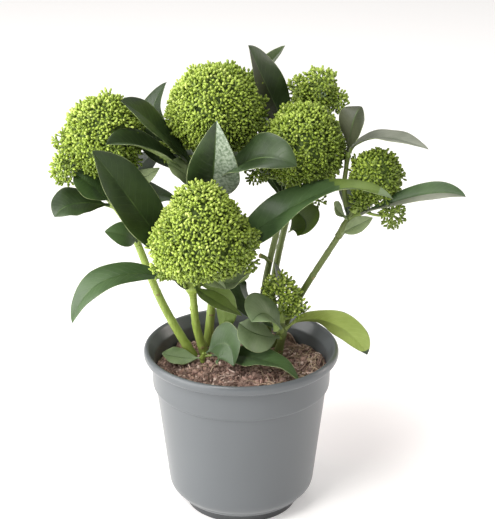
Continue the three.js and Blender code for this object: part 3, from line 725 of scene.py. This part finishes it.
LEAVES = {
    "left": [
        blade(0.05, (-71, -5, 195), (-88, -6, 197), (-90, 39), 17, DEEP),
        blade(0.72, (-112, -2, 221), (-120, -6, 207), (-100, 65), 29, twist=12),
        blade(0.78, (-97, -2, 230), (-107, 3, 233), (-80, 60), 27, DEEP),
        blade(0.7, (-66, 19, 219), (-42, 27, 207), (-94, 78), 28, DEEP),
        blade(0.8, (-69, 26, 230), (-57, 47, 235), (-123, 20), 24),
        blade(1.0, (-70, 12, 222), (-52.5, 10, 235), (-100, 20), 12, PALE),
    ],
    "front": [
        blade(0.45, (-69, -23, 226), (-91, -35, 261), (-54, 37), 37, twist=12),
        blade(0.4, (-63, -18, 181), (-109, -28, 142), (-90, 70), 23, DEEP, beyond=(-101, -30, 180)),
        blade(0.65, (3, -8, 159), (5, -24, 175), (-113, 72), 20, PALE, twist=18),
        blade(0.5, (-22, -28, 160), (1, -27, 147), (-94, 80), 15, OLIVE),
        blade(0.5, (-4, 0, 160), (-13, 0, 119), (50, 5), 21, under=OLIVE),
        blade(0.35, (-38, -14, 161), (-45, -22, 174), (-60, 50), 7, PALE),
        blade(0, (-23, -26, 178), (-9.5, -26, 165), (-90, 40), 10, PALE, root=(-40, -16, 171)),
    ],
    "middle": [
        # Its right half is painted with a pale sheen.
        blade(0.3, (-18, -4, 218), (-15, -18, 275), (-85, 10), 36, twist=-30, fold=22, halves=PAINTED_SHEEN),
        blade(0.35, (7, -22, 265), (35, -23, 247), (-151, 58), 37, twist=11, fold=26),
        blade(0.4, (-63, 5, 261), (-84, -16, 259), (-1, 55), 27, fold=34),
        blade(0.5, (-56, 10, 270), (-75, -5, 284), (-12, 35), 28),
        blade(0.6, (-78, 32, 248), (-49, 47, 282), (-139, 34), 28, twist=-15),
        blade(0.3, (-37, 3, 236), (-47, 4, 240), (-91, 59), 19, PALE),
        blade(0.7, (2, 70, 275), (29, 65, 302), (147, 39), 29, twist=-31, fold=12, under=GREY),
    ],
    "back": [
        blade(0.34, (51, -2, 202), (36, -16, 198), (-129, 33), 26, OLIVE, twist=8),
    ],
    "far": [
        blade(0.5, (17, 54, 276), (5, 21, 313), (-60, 30), 28, PAINTED_SHADE, twist=18, halves=DARK),
    ],
    "right": [
        blade(0.75, (123, -4, 230), (143, -12, 223), (-82, 64), 18, DEEP, fold=22, halves=MIST),
        blade(0.7, (59, 4, 209), (61, -4, 217), (-41, 12), 9, PALE, twist=-2, fold=23),
        blade(0.12, (72, -4, 199), (85, -3, 205.5), (-90, 35), 11, PALE),
    ],
    "low": [
        blade(0.4, (15.5, -20, 155), (7, -30, 144), (-100, 45), 31, GREY),
        blade(0.12, (7, -21, 129), (-1, -20, 139), (-99, 45), 29, GREY),
        blade(0.4, (42, 8, 143), (84.5, 4, 105), (105, 42), 27, FRESH, beyond=(76, 0, 128), fold=9,
              under=FRESH, dry=2),
        blade(0.4, (-3, 11, 135), (-2, 17, 157), (-70, -81), 24, twist=-4, fold=13, under=DEEP),
        blade(0.9, (26, 15, 156), (22, 22, 165), (-26, -6), 14),
    ],
    "upper": [
        blade(0.6, (69, 1, 271), (76, 8, 277), (-142, 17), 25, PAINTED_SHADE),
        blade(0.8, (81, 22, 261), (118, -13, 255), (-88, 88), 23, MIST),
    ],
    "side": [
        blade(0, (4, -26, 196), (96, -22, 225), (-165, 20), 32, DEEP, beyond=(53, -8, 248), twist=-155,
              fold=18, turns=0.73, root=(-16.5, 21.5, 168)),
    ],
    "basal": [
        blade(0.4, (-42, -1, 104), (-53, 0, 108), (-89, 64), 15, GREY, neck=0.5),
        blade(0.5, (-6, -8, 132), (-5, -23, 109), (-144, 23), 30, DEEP, neck=0.5),
        blade(0.6, (19, -16, 118), (37, -46, 110), (-43, 22), 21, DEEP, twist=-17, neck=0.5),
    ],
}
# Leaves by rule at the back of a whorl: the span of azimuths, the seed, and which goes grow.
MORE_LEAVES = {
    "left": {"from": 95, "to": 150, "seed": 31, "grow": (0, 1, 2)},
    "middle": {"from": 50, "to": 150, "seed": 43, "grow": (0, 1, 2)},
    "back": {"from": 62, "to": 100, "seed": 146, "grow": (3, 11, 16)},
    "far": {"from": 78, "to": 168, "seed": 35, "grow": (0, 1, 2, 5)},
    "right": {"from": 35, "to": 150, "seed": 36, "grow": (2, 5, 7)},
}
GOLDEN_ANGLE = np.pi * (3 - 5**0.5)
GOLDEN_SHARE = (5**0.5 - 1) / 2


def seeded(seed):
    """The same run of numbers from 0 to 1 for a seed: Mulberry32."""
    whole = 0xFFFFFFFF
    state = seed

    def draw():
        nonlocal state
        state = (state + 0x6D2B79F5) & whole
        mixed = (state ^ (state >> 15)) * (1 | state) & whole
        mixed = (mixed + ((mixed ^ (mixed >> 7)) * (61 | mixed) & whole) & whole) ^ mixed
        return (mixed ^ (mixed >> 14)) / 4294967296

    return draw


def heading(azimuth, rise):
    """The way that an azimuth and a rise above level point, in degrees."""
    turn, lift = np.radians(azimuth), np.radians(rise)
    return np.array([np.cos(lift) * np.cos(turn), np.cos(lift) * np.sin(turn), np.sin(lift)])


def rule_leaves(more, line):
    """Leaves that a whorl grows by rule: each sets off at its own azimuth and rise
    from a point of the stem, and droops to its tip."""
    draw = seeded(more["seed"])
    grown = []
    for go in range(max(more["grow"]) + 1):
        share = (go * GOLDEN_SHARE + 0.1 * draw()) % 1
        azimuth = more["from"] + (more["to"] - more["from"]) * share
        rise = 15 + 35 * draw()
        long = 66 + 22 * draw()
        root = evenly(line, [0.2 + 0.6 * draw()])[0]
        if go in more["grow"]:
            over = root + heading(azimuth, rise + 16) * long * 0.5
            tip = root + heading(azimuth, rise - 16) * long * 0.94
            tone = DARK if go % 2 else DEEP
            grown.append(blade(0, over, tip, (azimuth + 180, 70), long * 0.32, tone, root=root))
    return grown


LEAF_STEPS = 44
LEAF_HALF = np.array([0.025, 0.16, 0.34, 0.52, 0.7, 0.86, 0.972, 1])
LEAF_ACROSS = np.concatenate([-LEAF_HALF[::-1], LEAF_HALF])
LEAF_THICK = 0.5
LEAF_FOLD = 14  # degrees, where a leaf has no fold of its own
LEAF_LEAST = 0.12
LEAF_WAVE, LEAF_WAVES = (0.25, 0.75), (2.2, 3.6)  # height and number along the rim
LEAF_NECK = 0.1  # the share of a leaf's length that is bare petiole
LEAF_EVEN = 4  # the steps on each side over which the blade's turn is evened


def leaf_frame(root, leaf, shares):
    """Midrib points, blade sides and blade faces at shares of a leaf's curve. The
    sides are squared to the midrib, evened along it and turned by the twist."""
    root, over, tip = (np.array(place, float) for place in (root, leaf["over"], leaf["tip"]))
    s = shares[:, None]
    if "beyond" in leaf:
        beyond = np.array(leaf["beyond"], float)
        point = (1 - s) ** 3 * root + 3 * s * (1 - s) ** 2 * over
        point = point + 3 * s**2 * (1 - s) * beyond + s**3 * tip
    else:
        point = bent(root, over, tip, s)
    along = unit(np.gradient(point, axis=0))
    side = unit(np.cross(heading(*leaf["faces"]), along))
    padded = np.concatenate([np.repeat(side[:1], LEAF_EVEN, 0), side, np.repeat(side[-1:], LEAF_EVEN, 0)])
    side = sum(padded[k : k + len(shares)] for k in range(2 * LEAF_EVEN + 1))
    side = unit(side - along * (side * along).sum(1, keepdims=True))
    turn = np.radians(leaf.get("twist", 0)) * (s - 0.5)
    side = side * np.cos(turn) + np.cross(along, side) * np.sin(turn)
    return point, along, side, np.cross(along, side)


def leaf_rings(root, leaf, rng):
    """Closed rings (steps, around, 3) of one leaf with their UV marks. Across the
    blade the top rises by the fold, dips at the midrib and waves at its rim; the
    underside runs below it by the thickness, and carries the midrib's ridge."""
    shares = np.linspace(0, 1, LEAF_STEPS)
    point, along, side, face = leaf_frame(root, leaf, shares)
    share = shares[:, None]
    swell = np.clip((shares - LEAF_NECK) / (1 - LEAF_NECK), 0, 1)
    half = leaf["wide"] / 2 * np.sin(np.pi * swell**1.1) ** 0.85
    petiole = 1.35 + 1.1 * np.exp(-shares / 0.045) - 0.3 * np.clip(shares / 0.3, 0, 1)
    stalk = petiole * leaf.get("neck", 1.0) * (1 - np.clip((shares - LEAF_NECK) / 0.35, 0, 1)) ** 1.5
    half = np.maximum(np.maximum(half, stalk), LEAF_LEAST)[:, None]
    across = LEAF_ACROSS[None, :]
    rim = np.abs(across)
    fold = np.radians(leaf.get("fold", LEAF_FOLD))
    body = np.clip((shares - 0.08) / 0.14, 0, 1)[:, None]
    strength, waves, start = rng.uniform(*LEAF_WAVE), rng.uniform(*LEAF_WAVES), rng.uniform(0, 1)
    wave = strength * np.sin(2 * np.pi * (share * waves + start) + 1.3 * np.sign(across))
    rise = half * np.sin(fold) * (rim**1.15 - 0.3 * rim**4) + wave * rim**2.2 * half / 14
    groove = 0.32 * np.exp(-((across * half / 0.75) ** 2)) * body
    reach = (across * half * (np.cos(fold) + 0.02))[..., None]
    arch = stalk[:, None] * 0.9 * np.sqrt(np.maximum(1 - across**2, 0)) * (1 - body)
    top = rise * body - groove + arch
    ridge = 0.75 * (1 - 0.85 * share) * np.exp(-((across * half / 0.8) ** 2))
    thick = (LEAF_THICK * (1 - 0.55 * across**2) + ridge) * body + 1.9 * arch
    low = top - thick * np.clip((1 - share) * 12, 0.15, 1)
    upper = point[:, None] + side[:, None] * reach + face[:, None] * top[..., None]
    lower = point[:, None] + side[:, None] * reach + face[:, None] * low[..., None]
    ring = np.concatenate([upper[:, ::-1], lower[:, 1:-1]], 1)
    mark = np.concatenate([LEAF_ACROSS[::-1], LEAF_ACROSS[1:-1]]) + 0 * share
    return ring, np.stack([share + 0 * mark, 0.5 + 0.5 * mark], -1)


LEAF_AROUND = 2 * len(LEAF_ACROSS) - 2
LEAF_TOPS = len(LEAF_ACROSS) - 1
leaf_strip = np.arange(LEAF_AROUND)
leaf_upper = leaf_strip < LEAF_TOPS
leaf_margin = np.isin(leaf_strip, (0, LEAF_TOPS - 1, LEAF_TOPS, LEAF_AROUND - 1))
leaf_midrib = leaf_strip == LEAF_TOPS // 2
leaf_face = leaf_upper & ~leaf_margin


def leaf_slots(leaf):
    """The finish of each quad of a leaf (steps - 1, around)."""
    kind = np.where(leaf_upper, leaf["tone"], leaf.get("under", UNDER))
    kind = np.where(leaf_margin, MARGIN, np.where(leaf_midrib, MIDRIB, kind))
    slots = np.broadcast_to(kind, (LEAF_STEPS - 1, LEAF_AROUND)).copy()
    if "halves" in leaf:
        slots[:, leaf_face & (leaf_strip > LEAF_TOPS // 2)] = leaf["halves"]
    if "turns" in leaf:
        step = np.arange(LEAF_STEPS - 1)[:, None]
        late = step > leaf["turns"] * LEAF_STEPS + 0.45 * (leaf_strip - LEAF_TOPS // 2)
        slots = np.where(late & leaf_face, OLIVE, slots)
        slots[int(0.93 * LEAF_STEPS) :, leaf_upper] = GREY
    slots[: int(LEAF_STEPS * 0.08)] = STALK if "neck" in leaf else PETIOLE
    if "dry" in leaf:
        slots[-leaf["dry"] :] = DARK
    return slots.ravel()


def leaf_paint(name, dark, light, vein, rough, shine, patches=45.0):
    """A leaf's skin: two greens in soft patches, so many a metre, side veins that
    lean to the tip, a pebbled surface, and a waxy shine."""
    paint = Paint(name, {"Specular IOR Level": shine})
    mark = paint.node("ShaderNodeUVMap", {"uv_map": "UVMap"})
    along = paint.part(mark, "X")
    away = abs(paint.part(mark, "Y") - 0.5) * 2
    wander = paint.noise(90.0, 2.0, 0.5) - 0.5
    beat = (along * 17 - away * 2.6 + wander * 0.8) * np.pi
    wave = paint.node("ShaderNodeMath", {"operation": "SINE"}, {0: beat})
    veins = (1 - abs(wave).band(0.0, 0.2)) * (1 - away * 0.6)
    patch = paint.noise(patches, 3.0, 0.55).band(0.3, 0.7)
    fine = paint.noise(1500.0, 2.0, 0.5)
    tone = paint.mix(patch, dark, light)
    tone = paint.mix(veins * 0.3, tone, vein)
    paint.finish({
        "Base Color": tone,
        "Roughness": rough + patch * 0.08 + fine * 0.05,
        "Normal": paint.bump(fine * 0.25 - veins * 0.7 + wander * 0.8, 0.35, 0.0004),
    })
    return paint


LEAF_LOOKS = {
    "dark": ((38, 53, 28), (58, 78, 42), (76, 96, 58), 0.34, 0.5),
    "deep": ((52, 74, 40), (72, 96, 56), (96, 120, 78), 0.36, 0.5),
    "fresh": ((130, 148, 66), (152, 168, 88), (172, 186, 114), 0.42, 0.4),
    "grey": ((98, 118, 80), (128, 145, 108), (148, 162, 128), 0.34, 0.5),
    "pale": ((104, 120, 80), (134, 148, 106), (156, 168, 130), 0.45, 0.4),
    "olive": ((84, 104, 44), (108, 128, 60), (128, 146, 80), 0.42, 0.4),
    # Painted sheen: a pale grey-green that stands for the lamps' reflection on one glossy half of a leaf.
    "painted_sheen": ((96, 114, 90), (168, 180, 160), (70, 88, 66), 0.3, 0.6, 520.0),
    # Painted shade: a dull dark grey-olive that stands for shade on a leaf.
    "painted_shade": ((48, 53, 38), (68, 72, 52), (84, 88, 68), 0.38, 0.4),
    "mist": ((111, 116, 99), (140, 143, 128), (158, 160, 146), 0.4, 0.45),
    "under": ((104, 122, 66), (130, 146, 88), (152, 166, 110), 0.5, 0.35),
}
whorl_paints = [
    *(leaf_paint("leaf_" + name, *look) for name, look in LEAF_LOOKS.items()),
    patched("leaf_margin", 0.45, (160.0, 2.0, 0.5), (0.35, 0.55), (72, 92, 52), (152, 164, 116)),
    patched("leaf_midrib", 0.4, (110.0, 2.0, 0.5), (0.35, 0.65), (52, 72, 38), (84, 104, 60)),
    patched("leaf_petiole", 0.42, (150.0, 3.0, 0.5), (0.3, 0.7), (126, 148, 72), (160, 176, 100)),
    stem_paint,
]

leaf_cloud = []
for name, leaves in LEAVES.items():
    rng = np.random.default_rng(len(name) * 7 + ord(name[0]))
    heap = Heap()
    line = whorls.get(name)
    grown = leaves
    if line is not None:
        share = np.linspace(0, 1, STEM_TOP_STEPS)
        swell = 2.5 - 0.7 * share + STEMS[name].get("flare", 0.7) * np.exp(-(((share - 0.45) / 0.22) ** 2))
        grow(heap, evenly(line, share)[None], swell * STEMS[name].get("slim", 1.0), 16, STALK)
        grown = [{"root": evenly(line, [leaf["up"]])[0], **leaf} for leaf in leaves]
    if name in MORE_LEAVES:
        grown += rule_leaves(MORE_LEAVES[name], line)
    for leaf in grown:
        rings, mark = leaf_rings(leaf["root"], leaf, rng)
        leaf_cloud.append(rings[:, ::2].reshape(-1, 3))
        marks = np.concatenate([mark.reshape(-1, 2), [[0, 0.5], [1, 0.5]]])
        skin(heap, rings, [rings[0].mean(0), rings[-1].mean(0)], leaf_slots(leaf), MARGIN, marks)
    joins(heap.piece("whorl_" + name, whorl_paints), "leaf", "leaves_" + name)
leaf_cloud = np.concatenate(leaf_cloud)


# ------------------------------------------------------------------ flower heads
# Domes of tight buds. A peduncle splits into many branches; each ends in a knob
# of short pale stalks, and every stalk carries one closed ovoid bud.

# A head's lobes are ellipsoids, each a centre and three radii. `peak` draws the first
# one in towards its top, or out where it is below 0, and a head's dimming is painted
# shade: it deals out darker buds to heads that stand further from the lamps.
HEADS = {
    "left": {"seed": 41, "peak": 0.08, "shade_dim": 0.05, "lobes": [
        ((-88, 16, 254), (28, 28, 30)), ((-112.5, 4, 236), (11, 10, 14)), ((-115, 12, 253), (4, 4, 6)),
    ]},
    "front": {"seed": 111, "peak": 0.5, "shade_dim": 0.0, "lobes": [
        ((-24.6, -30, 199), (36.3, 35, 43)), ((-49, -30, 181), (9, 8, 6)), ((3, -30, 186), (8, 7, 6)),
    ]},
    "middle": {"seed": 23, "peak": -0.1, "shade_dim": 0.15, "lobes": [
        ((-16.2, 28, 267.5), (34, 33, 33.5)), ((-44, 20, 244), (9, 9, 9)),
    ]},
    "back": {"seed": 24, "peak": 0.05, "shade_dim": 0.42, "lobes": [
        ((40, 18, 246), (29, 29, 32)), ((10, 10, 232), (7, 6, 7)), ((48, 14, 213), (6, 6, 6)),
    ]},
    "far": {"seed": 25, "peak": 0.1, "shade_dim": 0.0, "lobes": [
        ((51, 52, 275.5), (15.5, 15, 17.5)), ((37, 50, 274), (10, 11, 12)), ((63, 51, 267), (8, 7, 9)),
    ]},
    "right": {"seed": 26, "peak": 0.1, "shade_dim": 0.65, "lobes": [
        ((87.5, 12, 228), (19, 19, 21)), ((79, 9, 213), (10, 10, 9)), ((98, 6, 204.5), (8, 6, 11)),
    ]},
    "low": {"seed": 27, "peak": 0.0, "shade_dim": 0.0, "lobes": [
        ((26, 6, 147), (15, 15, 17)), ((38, 3, 138), (6, 6, 8)),
    ]},
}
OPEN_LOBE = 18  # a lobe of less radius is open: its sprigs stand apart and it has no core
SPRIG_SPACING = 4.75
SPRIG_OPEN = 1.5  # times that spacing in an open lobe
SPRIG_SHUFFLE = 0.3
SPRIG_BACK = 1.9
SPRIG_OUT, SPRIG_OUT_SHARE = 2.6, 0.07
SPRIG_LOWEST = -0.85  # none looks further down than this
SPRIG_LONG, SPRIG_LONG_SPAN = 4.2, (0.55, 1.12)
SPRIG_BUDS = 7
SPRIG_LEAST = 2  # a sprig with no more buds than this is left out
KNOLLS, KNOLL_LOW, KNOLL_RISE, KNOLL_STEEP = 9, 0.945, 0.1, 9
SPREAD, SPREAD_OPEN, SPREAD_SPAN = 58, 66, (0.75, 1.2)
BUD_GAP = 1.3
LEAF_GAP = 2.3
BUD_LONG, BUD_LONG_SPAN = 2.6, (0.85, 1.15)
BUD_WIDE, BUD_WIDE_SPAN = 0.84, (0.88, 1.15)
BUD_TILT = 0.3
BUD_SHAPE = np.array([(0.0, 0.42), (0.3, 0.95), (0.72, 0.95), (0.97, 0.4)])  # height, girth
BUD_LIGHT = [-0.3, 0.25, 0.9]  # the light at which a bud is olive, green and pale
SUNWARD = np.array([-0.5, -0.25, 0.8])
UNDERSIDE, UNDERSIDE_PEAKED, PEAKED = 0.95, 0.55, 0.3
BUD_STRAY = 0.32  # how far chance moves a bud's light
# The radius of each twig at its start and its end.
TWIGS = {"peduncle": (2.5, 1.8), "limb": (1.4, 0.85), "branch": (0.8, 0.55), "link": (1.2, 0.8)}
STALK_GIRTH, STALK_KNEE = np.array([0.6, 0.5, 0.52]), 0.55
CORE_SHARE, CORE_ROUGH = 0.76, 0.035
CORE_ROWS, CORE_AROUND = 30, 60


def domed(out, peak):
    """The unit ball as a dome: flatter below its middle, more so under a high peak,
    and above it drawn in by `peak` times the height."""
    below = UNDERSIDE if peak < PEAKED else UNDERSIDE_PEAKED
    across = out[..., :2] * (1 - peak * np.maximum(out[..., 2:], 0))
    return np.concatenate([across, np.where(out[..., 2:] < 0, below, 1.0) * out[..., 2:]], -1)


def sprigs(centre, radii, peak, spacing, rng):
    """Forks of the sprigs of one lobe and the way each looks out: golden angle over
    the dome, a little shuffled, raised in soft knolls, each set back by its own depth
    but for a few that stand out, and none right below."""
    mean = np.mean(radii)
    count = max(int(round(4 * np.pi * mean**2 / spacing**2)), 6)
    number = np.arange(count)
    level = 1 - 2 * (number + 0.5) / count
    turn = number * GOLDEN_ANGLE + rng.uniform(0, SPRIG_SHUFFLE, count)
    flat = np.sqrt(1 - level**2)
    out = np.stack([flat * np.cos(turn), flat * np.sin(turn), level], -1)
    out = unit(out + rng.normal(0, SPRIG_SHUFFLE * spacing / mean, out.shape))
    knolls = unit(rng.normal(size=(KNOLLS, 3)))
    knoll = KNOLL_LOW + KNOLL_RISE * np.exp(((out @ knolls.T).max(1, keepdims=True) - 1) * KNOLL_STEEP)
    deep = SPRIG_LONG + SPRIG_BACK + rng.gamma(1.6, 0.7, count)
    deep = np.minimum(deep - SPRIG_OUT * (rng.uniform(0, 1, count) < SPRIG_OUT_SHARE), mean / 2)
    fork = domed(out, peak) * radii * knoll * (1 - deep / mean)[:, None]
    keep = level > SPRIG_LOWEST
    return fork[keep] + centre, out[keep]


def apart(points, gap, block=400):
    """Which points have no earlier point nearer than the gap, a block at a time."""
    keep = np.ones(len(points), bool)
    for start in range(0, len(points), block):
        part = points[start : start + block]
        away = ((part[:, None] - points[None]) ** 2).sum(-1)
        earlier = np.arange(len(points))[None] < (start + np.arange(len(part)))[:, None]
        keep[start : start + block] = ~((away < gap**2) & earlier).any(1)
    return keep


def nearest(points, cloud, reach=8, block=300):
    """The distance from each point to the nearest of a cloud, or a long way where
    none of the cloud is within reach of them."""
    near = cloud[((cloud > points.min(0) - reach) & (cloud < points.max(0) + reach)).all(1)]
    if not len(near):
        return np.full(len(points), 99.0)
    parts = [points[start : start + block, None] - near for start in range(0, len(points), block)]
    return np.sqrt(np.concatenate([(part**2).sum(-1).min(1) for part in parts]))


def sprig_buds(forks, outs, each, spread, rng):
    """Feet, ways and owners of the buds: `each` to a sprig, set round the way out by
    the golden angle and leaning from it by up to `spread` degrees."""
    owner = np.repeat(np.arange(len(forks)), each)
    place = np.tile(np.arange(each), len(forks))
    out = outs[owner]
    lean = np.radians(spread) * np.sqrt((place + 0.3) / each) * rng.uniform(*SPREAD_SPAN, len(place))
    turn = place * GOLDEN_ANGLE + rng.uniform(0, 2 * np.pi, len(forks))[owner]
    aid = np.eye(3)[np.abs(out).argmin(-1)]
    first = unit(np.cross(aid, out))
    second = np.cross(out, first)
    ring = first * np.cos(turn)[:, None] + second * np.sin(turn)[:, None]
    way = out * np.cos(lean)[:, None] + ring * np.sin(lean)[:, None]
    long = SPRIG_LONG * rng.uniform(*SPRIG_LONG_SPAN, len(place))
    foot = forks[owner] + way * long[:, None]
    return foot, unit(way + rng.normal(0, BUD_TILT, way.shape)), owner


def bud_paint(name, dark, light, rough=0.42):
    """A bud's skin: waxy green that varies from bud to bud, with a fine grain."""
    paint = Paint(name, {"Specular IOR Level": 0.5})
    patch = paint.noise(160.0, 2.0, 0.5).band(0.3, 0.7)
    paint.finish({
        "Base Color": paint.mix(patch, dark, light),
        "Roughness": rough + patch * 0.08,
        "Normal": paint.bump(paint.noise(1800.0, 2.0, 0.5), 0.15, 0.0002),
    })
    return paint


# Four copies of one bud green, from lit to shaded: painted light and shade, shuffled a little at random.
bud_paints = [
    bud_paint("bud_lit", (186, 204, 96), (206, 220, 122)),
    bud_paint("bud_half_lit", (154, 176, 66), (176, 196, 86)),
    bud_paint("bud_half_shaded", (124, 146, 44), (148, 168, 60)),
    bud_paint("bud_shade", (94, 114, 30), (118, 138, 42)),
]
stalk_paint = bud_paint("bud_stalk", (132, 154, 70), (162, 182, 96), 0.5)
core_shade_paint = bud_paint("bud_branch_shade", (66, 86, 30), (96, 116, 48), 0.7)

for name, head in HEADS.items():
    rng = np.random.default_rng(head["seed"])
    bud_heap, stalk_heap = Heap(), Heap()
    start = evenly(whorls[name], [1.0])[0]
    main = np.array(head["lobes"][0][0], float)
    onward = unit(whorls[name]([1.0]) - whorls[name]([0.999]))[0]
    bend = start + onward * np.linalg.norm(main - start) / 3
    peduncle = bent(start, bend, main, np.linspace(0, 0.8, 12)[:, None])
    grow(stalk_heap, peduncle[None], np.linspace(*TWIGS["peduncle"], 12), 10)
    for number, (centre, radii) in enumerate(head["lobes"]):
        centre, radii = np.array(centre, float), np.array(radii, float)
        open_lobe = radii[0] < OPEN_LOBE
        spacing = SPRIG_SPACING * (SPRIG_OPEN if open_lobe else 1.0)
        forks, outs = sprigs(centre, radii, 0.0 if number else head["peak"], spacing, rng)
        spread = SPREAD_OPEN if open_lobe else SPREAD
        foot, ways, owner = sprig_buds(forks, outs, SPRIG_BUDS, spread, rng)
        keep = apart(foot, BUD_GAP)
        foot, ways, owner = foot[keep], ways[keep], owner[keep]
        keep = nearest(foot, leaf_cloud) > LEAF_GAP
        keep &= np.bincount(owner[keep], minlength=len(forks))[owner] > SPRIG_LEAST
        foot, ways, owner = foot[keep], ways[keep], owner[keep]
        carry, owner = np.unique(owner, return_inverse=True)
        forks, outs = forks[carry], outs[carry]

        # The buds, lighter towards the sun.
        count = len(foot)
        long = BUD_LONG * rng.uniform(*BUD_LONG_SPAN, count)
        wide = BUD_WIDE * rng.uniform(*BUD_WIDE_SPAN, count)
        lines = foot[:, None] + ways[:, None] * (BUD_SHAPE[:, 0] * long[:, None])[..., None]
        # Painted shade: a head's dimming darkens all its buds.
        light = (foot - centre) @ SUNWARD / radii.mean() - head["shade_dim"]
        light += rng.normal(0, BUD_STRAY, count)
        tone = len(BUD_LIGHT) - np.digitize(light, BUD_LIGHT)
        grow(bud_heap, lines, BUD_SHAPE[:, 1] * wide[:, None], 5, tone)

        # A stalk from its sprig's fork to each bud.
        fork = forks[owner]
        knee = fork + outs[owner] * (np.linalg.norm(foot - fork, axis=1) * STALK_KNEE)[:, None]
        share = np.linspace(0, 1, 3)[None, :, None]
        lines = bent(fork[:, None], knee[:, None], (foot + ways * 0.3)[:, None], share)
        grow(stalk_heap, lines, STALK_GIRTH, 3)

        # Limbs from the hub of the lobe, and a branch from the nearest limb to each fork.
        hub = centre if number else centre * 0.6 + peduncle[5] * 0.4
        limbs = max(len(forks) // 12, 3)
        limb_end = forks[:: max(len(forks) // limbs, 1)] * 0.55 + hub * 0.45
        near = limb_end[np.linalg.norm(forks[:, None] - limb_end[None], axis=-1).argmin(1)]
        knee = (near + forks) / 2 + outs * 1.2
        share = np.linspace(0, 1, 4)[None, :, None]
        lines = bent(near[:, None], knee[:, None], forks[:, None], share)
        grow(stalk_heap, lines, np.linspace(*TWIGS["branch"], 4), 4)
        grow(stalk_heap, hub + (limb_end - hub)[:, None] * share, np.linspace(*TWIGS["limb"], 4), 6)
        if number:
            knee = (peduncle[3] + centre) / 2 + np.array([0, 0, -6.0])
            link = bent(peduncle[3], knee, centre, np.linspace(0, 1, 9)[:, None])
            grow(stalk_heap, link[None], np.linspace(*TWIGS["link"], 9), 8)

        # The imported branches inside a close lobe, as one rough ball painted dark olive for the shade
        # deep inside the head.
        if not open_lobe:
            fall = np.linspace(0, np.pi, CORE_ROWS + 2)[1:-1, None]
            spin = np.arange(CORE_AROUND) / CORE_AROUND * 2 * np.pi
            rough = CORE_SHARE + CORE_ROUGH * np.sin(9 * spin + 5 * fall) * np.sin(11 * fall)
            ball = [np.sin(fall) * np.cos(spin), np.sin(fall) * np.sin(spin), -np.cos(fall) + 0 * spin]
            core = centre + domed(np.stack(ball, -1), head["peak"]) * radii * rough[..., None]
            ends = centre + np.array([[0, 0, -0.5], [0, 0, CORE_SHARE]]) * radii
            skin(stalk_heap, core, ends, 1, 1)
    joins(bud_heap.piece("buds_" + name, bud_paints), "bud", "head_" + name)
    joins(stalk_heap.piece("stalks_" + name, [stalk_paint, core_shade_paint]), "bud", "head_" + name)
